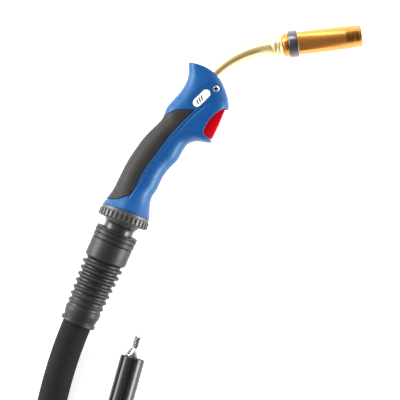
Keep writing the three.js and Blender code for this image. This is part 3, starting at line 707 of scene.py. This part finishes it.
def make_far_end():
    """The end sleeve with the cover's end cap behind it, and a tapered hexagon and a stud ahead of it."""
    length, radius = END_SLEEVE_LENGTH, 12.7
    groove_at, crest_at = 3.75, 4.15  # radii of the stud's thread
    cap = turned_ring([
        (-length - 1, 14.6), (-length + 0.4, 15), (-length + 4.6, 14.9), (-length + 5.2, 14.3),
        (-length + 6.2, 14.3), (-length + 6.8, 14.5), (-length + 9, 13.4),
    ], radius + 0.3)
    sleeve = turned_ring([(-length, 12.4), (-length + 1, radius), (-1, radius), (0, 12.1)], 8.4, radius=0.9)
    thread = [(9.4, 3.6)]
    for i in range(7):
        start = 10.4 + 1.5 * i
        thread += [(start, 3.65), (start + 0.45, 4.3), (start + 0.75, 4.3), (start + 1.2, 3.65)]
    thread += [(21.4, 4.1), (22.9, 3.3)]
    stud = turned_ring(thread, 2.2, radius=0.12, sides=48)
    # how deep each point of the thread lies below its crests, for painted shade in the grooves
    depth = []
    for vertex in stud.data.vertices:
        under_crest = smoothstep(crest_at, groove_at, math.hypot(vertex.co.y, vertex.co.z))
        depth.append(float(under_crest) if 10.2 < vertex.co.x < 20.8 else 0.0)
    store(stud, "recess", "POINT", depth)
    cone = turned_ring([(-30, 8), (0.3, 8), (0.4, 9.2), (1.6, 9.2), (9.1, 5.3)], 3.4, radius=0.25)
    flats = slab(circle_points((0, 0), 9.55, 6), -32, 12)
    flats.data.transform(Matrix.Rotation(math.pi / 2, 4, "Y") @ Matrix.Rotation(math.pi / 6, 4, "Z"))
    combine(cone, "INTERSECT", combine(flats, "UNION", rod(-31, 0.35, 9)))
    made = ((cap, "cover_end_cap", "ring_black"), (sleeve, "end_sleeve", "end_gloss"),
            (cone, "end_fitting", "nickel"), (stud, "end_stud", "nickel"))
    return [settle(form, name, FAR, "hose_package", look) for form, name, look in made]


end_pieces = make_far_end()

# -------------------- kink sleeve, ball and locking ring

RING_REAR, RING_FRONT = -4.6, 6.9
RING_TEETH = 32
TOOTH_SIDES = 14  # faces to each tooth
BALL_RADIUS = 20.5
SHANK_RADIUS = 15.8
SLEEVE_BORE = 16.1
SLEEVE_RIBS = 7
RIB_PITCH = 7.12
RIB_LEAN = 1.1  # how far the ribs lean along the sleeve, from its middle line to its side


def make_kink_sleeve():
    """Two bands at its mouth, a smooth stretch, ribs that get smaller, and a ring at its rear end."""
    mouth = -19.5
    profile = [
        (mouth, 21.3), (mouth - 0.4, 22.4), (mouth - 1.5, 22.4), (mouth - 1.8, 21.1), (mouth - 2.4, 21.1),
        (mouth - 2.7, 22.4), (mouth - 6, 22.4), (mouth - 6.4, 20.9), (mouth - 7, 20.9), (mouth - 7.5, 22.2),
        (mouth - 11.4, 22.2), (mouth - 11.9, 20.5), (mouth - 12.5, 20.5), (mouth - 12.9, 21.8),
        (mouth - 32.4, 21.75), (mouth - 33.4, 20.7),
    ]
    start = mouth - 35.4
    round_radius = 1.75
    for i in range(SLEEVE_RIBS):
        share = i / (SLEEVE_RIBS - 1)
        crest, root = 21.6 - 2.5 * share, 18 - 0.8 * share
        x = start - RIB_PITCH * i
        profile += [(x - 0.4, root), (x - 2.3, root)]
        for degrees in range(0, 181, 30):
            angle = math.radians(degrees)
            profile.append((x - 4.75 + round_radius * math.cos(angle),
                            crest - round_radius * (1 - math.sin(angle))))
    end = start - RIB_PITCH * SLEEVE_RIBS
    profile += [
        (end - 0.6, 17.3), (end - 2.2, 17.5), (end - 3.2, 18.6), (end - 6, 18.5), (end - 12.2, 17.2),
        (end - 13, 16.8), (end - 14.3, 16.8), (end - 14.9, 18.4), (end - 17.5, 18.4), (end - 18.4, 17.2),
    ]
    sleeve = turned_ring(profile, SLEEVE_BORE, radius=0.35)
    for vertex in sleeve.data.vertices:
        out = math.hypot(vertex.co.y, vertex.co.z)
        if out > SLEEVE_BORE + 0.5 and end - 4.5 < vertex.co.x < mouth - 30:
            vertex.co.x += RIB_LEAN * (1 - vertex.co.y / out)
    return settle(sleeve, "kink_sleeve", HOSE, "hose_package", "sleeve_rubber")


def make_ball():
    """The ball of the swivel joint, its round shoulder and its shank."""
    front = 12
    first = math.degrees(math.acos(front / BALL_RADIUS))
    ball = [(BALL_RADIUS * math.cos(a), BALL_RADIUS * math.sin(a))
            for a in (math.radians(first + (128 - first) * i / 24) for i in range(25))]
    profile = [(front, 14.8), *ball, (-14.6, SHANK_RADIUS), (-44, SHANK_RADIUS)]
    hollow = [(-44, 12), (-8, 12)]
    made = turned(filleted([*profile, *hollow, profile[0]], 0.5)[:-1], closed=True)
    return settle(made, "swivel_ball", HOSE, "hose_package", "ball_black")


def make_locking_ring():
    """A ring with round-backed teeth, hollow for the ball and its cup."""
    crest, root = 26.5, 24.9
    outer = [(RING_REAR, 23.9), (RING_REAR + 0.5, 24.7), (RING_REAR + 1.3, crest), (2.9, crest),
             (3.7, 25.3), (RING_FRONT - 0.4, 25.3), (RING_FRONT, 24.95)]
    toothed = (RING_REAR + 0.9, 3.5)
    inner = [(RING_FRONT, 24.9), (-0.6, 24.9), (-1.2, 22.65), (-3.4, 22.0), (RING_REAR, 21.6)]
    sides = RING_TEETH * TOOTH_SIDES
    vertices = []
    outer = filleted([inner[-1], *outer, inner[0]], 0.3)
    fine = []
    for (x0, r0), (x1, r1) in zip(outer, outer[1:]):
        steps = max(1, round(abs(x1 - x0) / 0.8))
        fine += [(x0 + (x1 - x0) * k / steps, r0 + (r1 - r0) * k / steps) for k in range(steps)]
    rows = [*fine, *inner]
    for row, (x, r) in enumerate(rows):
        rising, falling = (smoothstep(end - 0.5, end + 0.5, x) for end in toothed)
        cut_depth = rising * (1 - falling) * (crest - root) if row < len(fine) and r > 24 else 0
        for j in range(sides):
            phase = (j % TOOTH_SIDES) / TOOTH_SIDES
            gap = smoothstep(0.56, 0.68, phase) * (1 - smoothstep(0.88, 1.0, phase))
            angle = 2 * math.pi * j / sides
            radius = r - cut_depth * gap
            vertices.append((x, radius * math.cos(angle), radius * math.sin(angle)))
    ring = object_of("form", vertices, grid_faces(len(rows), sides, wrap_rows=True))
    return settle(ring, "locking_ring", HANDLE, "locking_ring", "ring_black")


make_kink_sleeve()
make_ball()
make_locking_ring()

# -------------------- the handle's form

# Stations along the handle: its back edge, its front edge, its half width and how square it is.
STATIONS = [
    ((7.3, 25.4), (7.3, -25.4), 25.4, 2),
    ((14.7, 23), (14, -23.2), 23.2, 2),
    ((24, 20.4), (22, -20.9), 20.9, 2.1),
    ((36, 18.9), (30, -19.9), 19.4, 2.2),
    ((48, 17.6), (40, -22.2), 18.9, 2.3),
    ((60, 15.7), (52.8, -23.3), 18.7, 2.3),
    ((71.7, 12.8), (64, -26.6), 18.6, 2.3),
    ((82, 9.9), (75, -31.6), 18.6, 2.35),
    ((92, 6), (86, -33.5), 18.8, 2.4),
    ((101, 1.6), (94.3, -36), 19.2, 2.5),
    ((108, -1.6), (100.2, -43.3), 19.6, 2.6),
    ((113, -2.5), (104.4, -58.5), 20, 2.8),
    ((121.3, -2.6), (113, -62), 20.4, 3),
    ((130, -5.4), (129, -63.4), 20.8, 3),
    ((140.5, -9.7), (143.6, -63), 21, 3),
    ((149.8, -12.2), (153, -58.5), 20.8, 3),
    ((161.7, -12.1), (163, -50.6), 20, 3),
    ((170, -9), (171, -42.4), 19.2, 3),
    ((178, -6), (179, -35), 18.4, 3),
]
# Where the hollow inside has its own front edge: station number and point.
CAVITY_FRONT = {9: (96, -34), 10: (103, -38), 11: (108.5, -47), 12: (114, -61)}
HEAD_END = [
    (173.6, 10), (173.6, -8.9), (174.4, -17), (174.3, -26), (172.7, -34),
    (170, -41.5), (167, -46.6), (163, -51), (166, -58), (200, -58), (200, 10),
]
CHAMFERED = 8  # the points of HEAD_END that the chamfer draws in
CHAMFER_REACH = 3.6
CHAMFER_LEVELS = (16.4, 20)  # from the middle plane
WALL = 3.2
SEAM = 0.15  # each shell stops this far from the middle plane
GAP = 0.3
PAD_DEPTH = 1.6
PAST_SIDES = 40  # from the middle plane, clear of the handle's sides
SEAT_RADIUS = 23.2
SPIGOT_RADIUS = 24.6
SCREW_PLACE = (156.6, -44.2)
BADGE_ENDS = ((136.4, -30.8), (148.3, -36.5))
BADGE_RADIUS = 4.2
TRIGGER_PIN = (138.6, -52.6)
TRIGGER_HALF_WIDTH = 12.3
TRIGGER_TRAVEL = 5  # degrees
TRIGGER_MIDDLE = (126, -51)
TRIGGER_ROOM = 0.9
TRIGGER_OUTLINE = [
    (142.4, -58.6), (139.5, -60.1), (124, -59.3), (111, -58.1), (107.4, -57.5), (108, -50.5),
    (109.6, -45), (113, -42.2), (130, -41.4), (138, -46.8), (142.6, -52),
]
TRIGGER_OPENING = [
    (141.6, -70), (141.2, -59.6), (137, -55.6), (132.2, -51.9), (126.4, -49.3), (121.1, -47.8),
    (116, -46.8), (111.2, -46.8), (108.6, -48.4), (107.4, -51), (106.6, -55), (105.2, -57.8), (103, -70),
]
# A line moulded into each side below the pad, and the shallow band that holds the badge and the screw.
GROOVE_REACH, GROOVE_DEPTH = 0.95, 0.65
BAND_DEPTH = 0.25
REAR_SHADOW = (7.9, 9.1)  # where the painted shadow line at the shells' edge beside the locking ring fades out
GROOVE = [(134.5, -38.6), (126.5, -33.2), (114.3, -27.6), (96, -20.6), (79.6, -14.6), (59.3, -8.2),
          (40.8, -3.6), (21.2, 1.4)]
BAND = [(128.6, -27.5), (131.5, -23.6), (136.2, -22.4), (142.6, -23.9), (151.3, -28.2), (158, -33.6),
        (166.1, -35.4), (180, -34), (180, -62), (150, -62), (148.2, -57.6), (144.6, -51), (140.7, -44.9),
        (136.4, -39.4), (131.4, -35)]


def handle_form(inset, per_span, sides, front_overrides=None):
    """The handle's superelliptic form, drawn in from its surface by inset."""
    fronts = {i: s[1] for i, s in enumerate(STATIONS)} | (front_overrides or {})
    back = through([(*s[0], s[2]) for s in STATIONS], per_span)
    front = through([(*fronts[i], s[3]) for i, s in enumerate(STATIONS)], per_span)
    angles = round_angles(sides)
    rings = []
    for (bx, by, half), (fx, fy, square) in zip(back, front):
        centre = np.array(((bx + fx) / 2, (by + fy) / 2))
        across = np.array(((bx - fx) / 2, (by - fy) / 2))
        across *= 1 - inset / np.linalg.norm(across)
        reach = np.sign(np.cos(angles)) * np.abs(np.cos(angles)) ** (2 / square)
        rise = np.sign(np.sin(angles)) * np.abs(np.sin(angles)) ** (2 / square)
        flat = centre + across * reach[:, None]
        rings.append([(x, y, z) for (x, y), z in zip(flat, (half - inset) * rise)])
    return loft(rings)


def pad_outline(grow):
    """The grip pad's side view: its top edge, its pointed tip and its long lower edge."""
    start, control, tip = (111.8 + grow, -3.4), (123 + grow, -10.5), (128.6 + grow, -31 - grow)
    top = []
    for i in range(12):
        t = i / 12
        shares = ((1 - t) ** 2, 2 * t * (1 - t), t * t)
        top.append(tuple(sum(w * p[k] for w, p in zip(shares, (start, control, tip))) for k in (0, 1)))
    lower = [(114.9, -23.9 - grow), (97, -16.3 - grow), (78.1, -10.3 - grow), (60.6, -5.1 - grow),
             (42.5, -1.2 - grow), (26.4 - grow, 1.4 - grow), (18.8 - grow, 8.3), (15.4 - grow, 14.2),
             (13 - grow, 22.2)]
    run = through([(*p, 0) for p in [tip, *lower]], 5)[:, :2]
    return [(107 + grow, 14), *top, *(tuple(p) for p in run), (10.7 - grow, 34), (60, 34)]


def side_cut(outline):
    return slab(outline, -PAST_SIDES, PAST_SIDES)


def trigger_room():
    """The trigger's outline, moved out from its middle."""
    made = []
    for x, y in TRIGGER_OUTLINE:
        away = Vector((x - TRIGGER_MIDDLE[0], y - TRIGGER_MIDDLE[1]))
        away.length += TRIGGER_ROOM
        made.append((TRIGGER_MIDDLE[0] + away.x, TRIGGER_MIDDLE[1] + away.y))
    return made


def about_pin(outline, degrees):
    c, s = math.cos(math.radians(degrees)), math.sin(math.radians(degrees))
    px, py = TRIGGER_PIN
    return [(px + c * (x - px) - s * (y - py), py + s * (x - px) + c * (y - py)) for x, y in outline]


def capsule(ends, radius, steps=16):
    """A flat outline with round ends."""
    (x0, y0), (x1, y1) = ends
    along = math.degrees(math.atan2(y1 - y0, x1 - x0))
    return [*circle_points((x0, y0), radius, steps, along + 90, 180),
            *circle_points((x1, y1), radius, steps, along - 90, 180)]


def halves(form):
    """The right and the left half of a handle form, parted by the seam."""
    left = copy_of(form)
    span = ((-10, 190), (-80, 40))
    return (combine(form, "INTERSECT", block(*span, (SEAM, PAST_SIDES))),
            combine(left, "INTERSECT", block(*span, (-PAST_SIDES, -SEAM))))


BEND_RADIUS = 95
BEND_ANGLE = 40
NECK_TAIL = 38  # its straight stretch behind the bend
NECK_AHEAD = 1  # and ahead of it
NECK_RADIUS = 8
NECK_BORE = 4.6
FLARE, FLARE_START = 0.8, 0.86  # the neck widens by this much over the last part of its length
NECK_TO_HANDLE = HANDLE.inverted() @ NECK
BEND_START = (-BEND_RADIUS * math.sin(math.radians(BEND_ANGLE)),
              -BEND_RADIUS * (1 - math.cos(math.radians(BEND_ANGLE))))


def neck_line():
    """The neck's middle line in its own frame: a straight tail, the bend and a short straight."""
    c, s = math.cos(math.radians(BEND_ANGLE)), math.sin(math.radians(BEND_ANGLE))
    points = [(BEND_START[0] - NECK_TAIL * c, BEND_START[1] - NECK_TAIL * s, 0)]
    for i in range(41):
        angle = math.radians(BEND_ANGLE * (1 - i / 40))
        points.append((-BEND_RADIUS * math.sin(angle), -BEND_RADIUS * (1 - math.cos(angle)), 0))
    points.append((NECK_AHEAD, 0, 0))
    return evenly(np.array(points), 2.0)


def tail_rod(x0, x1, radius):
    """A rod round the neck's straight tail, in the handle's frame."""
    made = rod(x0, x1, radius)
    turn = Matrix.Translation((*BEND_START, 0)) @ Matrix.Rotation(math.radians(BEND_ANGLE), 4, "Z")
    made.data.transform(NECK_TO_HANDLE @ turn)
    return made


def head_chamfer():
    """The slope cut along the head's end on both sides: the end's outline, drawn in towards each side."""
    outline = np.array(HEAD_END)
    ahead = np.roll(outline, -1, axis=0) - np.roll(outline, 1, axis=0)
    ahead /= np.linalg.norm(ahead, axis=1)[:, None]
    inward = np.stack([-ahead[:, 1], ahead[:, 0]], axis=1)
    inner = outline + inward * np.where(np.arange(len(outline)) < CHAMFERED, CHAMFER_REACH, 0)[:, None]
    sides = []
    for side in (1, -1):
        levels = ((outline, CHAMFER_LEVELS[0]), (inner, CHAMFER_LEVELS[1]), (inner, PAST_SIDES))
        sides.append(loft([[(x, y, side * z) for x, y in ring] for ring, z in levels]))
    return sides


def handle_hollow():
    """The room inside the handle, less the ribs and the screw's boss that stand in it."""
    cavity = combine(handle_form(WALL, 3, 48, CAVITY_FRONT), "DIFFERENCE",
                     side_cut([(x - WALL, y) for x, y in HEAD_END]))
    ribs = [block((140, 142.5), (-60, 0), (-30, 30)), block((164.5, 167), (-60, 0), (-30, 30)),
            block((108.8, 115.6), (-34, -31.5), (-30, 30))]
    screw_boss = upright(SCREW_PLACE, -17.5, 17.5, 5.2)
    return combine(cavity, "DIFFERENCE", *ribs, screw_boss)


def mould_line(form):
    """Presses the groove and the badge's band into a shell and notes where they are; the groove's note, with a
    line along the rear edge, is painted shade.
    """
    mesh = form.data
    count = len(mesh.vertices)
    place = np.zeros(count * 3, np.float32)
    mesh.vertices.foreach_get("co", place)
    place = place.reshape(-1, 3).astype(float)
    normal = np.zeros(count * 3, np.float32)
    mesh.vertices.foreach_get("normal", normal)
    facing = normal.reshape(-1, 3)[:, 2] * np.sign(place[:, 2])
    outer = smoothstep(0.3, 0.7, facing)
    flat = place[:, :2]

    line = through([(*p, 0) for p in GROOVE], 10)[:, :2]
    to_line = distance_to(flat, line)
    groove = np.exp(-((to_line / GROOVE_REACH) ** 2)) * outer
    # a painted shadow line along the shells' rear edge, where they meet the locking ring
    rear_shadow = 1 - smoothstep(*REAR_SHADOW, place[:, 0])
    edge = np.array([*BAND, BAND[0]], float)
    signed = distance_to(flat, edge) * np.where(inside_of(flat, edge), 1, -1)
    band = smoothstep(-1.3, 1.3, signed) * outer

    place[:, 2] -= np.sign(place[:, 2]) * (GROOVE_DEPTH * groove + BAND_DEPTH * band)
    mesh.vertices.foreach_set("co", place.astype(np.float32).ravel())
    # the groove and the rear edge, kept together for the look's painted shade
    store(form, "groove", "POINT", np.maximum(groove, rear_shadow).astype(np.float32))
    store(form, "band", "POINT", band.astype(np.float32))
    mesh.update()
    return form


def distance_to(points, line):
    """Each flat point's distance to a line of points."""
    nearest = np.full(len(points), 1e9)
    for a, b in zip(line, line[1:]):
        along = np.clip((points - a) @ (b - a) / max((b - a) @ (b - a), 1e-12), 0, 1)
        nearest = np.minimum(nearest, np.linalg.norm(points - a - along[:, None] * (b - a), axis=1))
    return nearest


def inside_of(points, edge):
    """Which flat points lie inside a closed edge."""
    inside = np.zeros(len(points), bool)
    for (ax, ay), (bx, by) in zip(edge, edge[1:]):
        if ay == by:
            continue
        spans = (ay > points[:, 1]) != (by > points[:, 1])
        crossing = ax + (points[:, 1] - ay) * (bx - ax) / (by - ay)
        inside ^= spans & (points[:, 0] < crossing)
    return inside


def make_shells():
    outside = handle_form(0, 6, 96)
    shell = combine(copy_of(outside), "UNION", rod(-0.3, 8.3, SPIGOT_RADIUS, 96))
    room_sides = (-TRIGGER_HALF_WIDTH - 0.6, TRIGGER_HALF_WIDTH + 0.6)
    openings = [
        turned([(BALL_X + SEAT_RADIUS * math.cos(a), SEAT_RADIUS * math.sin(a))
                for a in (math.pi - math.pi * i / 24 for i in range(25))], 64),
        rod(-2, 20, 15.2),  # the way in for the cable's core
        side_cut(HEAD_END),
        tail_rod(-NECK_TAIL - 22, 20, NECK_RADIUS + 0.4),
        tail_rod(-NECK_TAIL - 20, -27, 9.9),  # room for the nut at the neck's rear end
        side_cut(TRIGGER_OPENING),
        slab(trigger_room(), *room_sides),
        slab(about_pin(trigger_room(), -TRIGGER_TRAVEL), *room_sides),
        upright(TRIGGER_PIN, -16.3, 16.3, 1.8),
        # the screw's hole, the room for its head and the nut's pocket
        upright(SCREW_PLACE, -PAST_SIDES, PAST_SIDES, 2.3),
        upright(SCREW_PLACE, 14.4, PAST_SIDES, 4.6),
        upright(SCREW_PLACE, -PAST_SIDES, -13.4, 4.3, 6),
        *head_chamfer(),
    ]
    under_pad = handle_form(PAD_DEPTH + GAP, 4, 64)
    pad_room = combine(side_cut(pad_outline(2 * GAP)), "DIFFERENCE", under_pad)
    right, left = halves(combine(shell, "DIFFERENCE", handle_hollow(), *openings, pad_room))
    combine(right, "DIFFERENCE", slab(capsule(BADGE_ENDS, BADGE_RADIUS + GAP), 19.5, 30))
    for form, side in ((right, "right"), (left, "left")):
        thin_out(mould_line(soften(form, 0.42, 6)), 0.6)
        settle(form, f"handle_shell_{side}", HANDLE, "handle", "shell_blue")

    skin = combine(outside, "INTERSECT", side_cut(pad_outline(0)))
    combine(skin, "DIFFERENCE", handle_form(PAD_DEPTH, 4, 64))
    for form, side in zip(halves(skin), ("right", "left")):
        thin_out(soften(form, 0.36, 4), 0.4)
        settle(form, f"grip_pad_{side}", HANDLE, "handle", "pad_grey")


make_shells()

# -------------------- trim, trigger


def along_z(profile, place, **options):
    """A turned form standing on Z at a place in the handle's frame; the profile is [z, radius]."""
    made = turned(profile, **options)
    made.data.transform(Matrix.Translation((*place, 0)) @ Matrix.Rotation(-math.pi / 2, 4, "Y"))
    return made


def make_badge():
    """A plain white pill with a generic mark of slanted bars."""
    rings = []
    for z, grow in ((19.8, 0), (20.75, 0), (20.9, -0.06), (21.0, -0.22), (21.05, -0.5)):
        rings.append([(x, y, z) for x, y in capsule(BADGE_ENDS, BADGE_RADIUS + grow, 24)])
    settle(loft(rings), "badge", HANDLE, "handle", "badge_white")
    start, end = (Vector(p) for p in BADGE_ENDS)
    along = (end - start).normalized()
    slant = 1.9 * along.orthogonal() + 0.9 * along
    bars = []
    for i in range(3):
        centre = start + along * (1 + 3 * i)
        bars.append(slab(capsule((centre - slant, centre + slant), 0.7, 8), 20.9, 21.14))
    settle(combine(bars[0], "UNION", *bars[1:]), "badge_mark", HANDLE, "handle", "switch_black")


def make_screw():
    head = [(14.8, 0), (14.8, 4.0), (15.1, 4.1), (16.3, 4.1), (16.9, 3.6), (17.3, 2.4), (17.42, 1.2),
            (17.45, 0)]
    screw = along_z(filleted(head, 0.25), SCREW_PLACE, sides=64)
    for degrees in (20, 110):
        blade = block((-2.5, 2.5), (-0.85, 0.85), (15.4, 18.5))
        turn = Matrix.Rotation(math.radians(degrees), 4, "Z")
        blade.data.transform(Matrix.Translation((*SCREW_PLACE, 0)) @ turn)
        combine(screw, "DIFFERENCE", blade)
    combine(screw, "UNION", upright(SCREW_PLACE, -15.8, 15, 2))
    # the faces inside the cross recess, which the screw's look paints dark as shade
    recess = []
    for face in screw.data.polygons:
        out = (face.center.xy - Vector(SCREW_PLACE)).length
        recess.append(float(out < 2.7 and 15.1 < face.center.z < 17.1))
    store(screw, "recess", "FACE", recess)
    settle(screw, "handle_screw", HANDLE, "handle", "screw_steel")


def make_trigger():
    trigger = slab(TRIGGER_OUTLINE, -TRIGGER_HALF_WIDTH, TRIGGER_HALF_WIDTH)
    spring_pocket = rod(-48, -38, 3, 32)
    spring_pocket.data.transform(Matrix.Translation((112.2, 0, 0)) @ Matrix.Rotation(math.pi / 2, 4, "Z"))
    combine(trigger, "DIFFERENCE", upright(TRIGGER_PIN, -20, 20, 1.85), spring_pocket)
    thin_out(soften(trigger, 0.33, 10), 0.4)
    settle(trigger, "trigger", HANDLE, "trigger", "trigger_red")


make_badge()
make_screw()
make_trigger()

# -------------------- neck and gas nozzle


def make_neck():
    def flare(t):
        return NECK_RADIUS + FLARE * max(0.0, (t - FLARE_START) / (1 - FLARE_START)) ** 2

    settle(sweep(neck_line(), flare, 64, bore=NECK_BORE), "neck_tube", NECK, "handle", "brass")
    head = turned_ring([
        (1.3, 8.9), (2.2, 9.3), (3.2, 12.2), (4, 12.6), (6.8, 12.6), (7, 11.9), (7.8, 11.9), (8, 12.6),
        (10.6, 12.6), (12.4, 11.2), (12.6, 9.4), (24, 9.4),
    ], 7.4, radius=0.5)
    settle(head, "neck_head", NECK, "handle", "brass")


def make_nozzle():
    radius, bore = 12, 10.6
    skirt = turned_ring([(13.5, 11.5), (14.1, radius), (19, radius)], 9.8, radius=0.35)
    settle(skirt, "nozzle_skirt", NECK, "nozzle", "copper")
    insulator = turned_ring([
        (19.3, 13.6), (19.8, 14.1), (28.3, 14.1), (28.8, 13.6),
    ], 12.3, radius=0.35)
    settle(insulator, "nozzle_insulator", NECK, "nozzle", "insulator_black")
    outline = filleted([
        (34, bore), (32, 9.8), (19.3, 9.8), (19.3, radius), (30, radius), (78.5, radius), (95, 11),
        (95, 9), (80, bore), (34.1, bore),
    ], 0.6)
    body = turned(outline, 128, closed=True)
    settle(body, "gas_nozzle", NECK, "nozzle", "copper")
    tip = turned_ring([(59.3, 3.6), (60, 4), (84, 4), (90, 2.6), (91, 2.3)], 0.7, radius=0.3, sides=48)
    settle(tip, "contact_tip", NECK, "handle", "copper")
    holder = turned_ring([(43.3, 4.6), (44, 5), (58, 5), (59, 4.4)], 2.9, radius=0.3, sides=48)
    settle(holder, "tip_holder", NECK, "handle", "brass")


make_neck()
make_nozzle()

# -------------------- looks of the CAD nodes that stay

CAD_SLOTS = {part["node"]: part["material_slot"] for part in frame["record"]["subparts"]}

for node, solid in frame["nodes"].items():
    solid.data.materials.clear()
    solid.data.materials.append(LOOKS[CAD_SLOTS[node]])

# -------------------- floor and lights


def make_floor():
    """A pale floor that glows a little, as a lit sheet of paper in a light tent does."""
    half, level = 3.0, -0.0002  # just below the surface that the torch lies on
    corners = [(-half, -half, level), (half, -half, level), (half, half, level), (-half, half, level)]
    mesh = bpy.data.meshes.new("floor")
    mesh.from_pydata(corners, [], [(0, 1, 2, 3)])
    floor = bpy.data.objects.new("floor", mesh)
    bpy.context.scene.collection.objects.link(floor)
    look = Look("floor", (0.93, 0.93, 0.93), 0.7, emission_strength=0.62)
    look.set("Emission Color", (1, 1, 1, 1))
    look.set("Base Color", look.mix(look.noise(3, 2), (0.925, 0.925, 0.925), (0.94, 0.94, 0.94)))
    mesh.materials.append(look.material)


HORIZON, OVERHEAD = 1.68, 0.38  # how bright the light tent is away from its darkest direction, and in it
DARKEST = (0, -0.31, 0.951)  # nearly overhead
CARD_LIGHT = 0.01  # the share of light that the dark card leaves
SOFTBOX_SIZE = (0.9, 0.55)
SOFTBOX_AIM = Vector((0, 0, 0.03))


def make_world():
    """Light from all round: bright at the horizon, dim nearly overhead, and a dark card towards +X."""
    world = bpy.data.worlds.new("world")
    shading = Shading(world)
    direction = shading.node("ShaderNodeTexCoord")
    x, _, z = shading.parts(direction)
    sides = shading.math("MULTIPLY", shading.between(x, 0.09, 0.11), shading.between(x, 0.33, 0.38, (1, 0)))
    card = shading.math("MULTIPLY", sides, shading.between(z, 0.45, 0.6))
    left_by_card = shading.between(card, 0, 1, (1, CARD_LIGHT))
    lean = shading.node("ShaderNodeVectorMath", direction, DARKEST, output=1, operation="DOT_PRODUCT")
    tent = shading.between(lean, 0.25, 0.99, (HORIZON, OVERHEAD))
    background = shading.tree.nodes["Background"]
    shading.feed(background.inputs["Color"], (1, 1, 1, 1))
    shading.feed(background.inputs["Strength"], shading.math("MULTIPLY", tent, left_by_card))
    bpy.context.scene.world = world


def make_softbox(name, place, power):
    lamp = bpy.data.lights.new(name, "AREA")
    lamp.shape = "RECTANGLE"
    lamp.size, lamp.size_y = SOFTBOX_SIZE
    lamp.energy = power
    light = bpy.data.objects.new(name, lamp)
    light.location = place
    light.rotation_euler = (SOFTBOX_AIM - Vector(place)).to_track_quat("-Z", "Y").to_euler()
    light.visible_camera = False
    bpy.context.scene.collection.objects.link(light)


def make_lights():
    make_world()
    make_softbox("left_softbox", (-1.15, 0.55, 0.33), 17)
    make_softbox("right_softbox", (1.1, -0.6, 0.33), 22)
    make_softbox("back_softbox", (-0.25, 1.0, 0.75), 8)
    bpy.context.scene.view_settings.view_transform = "Standard"


make_floor()
make_lights()
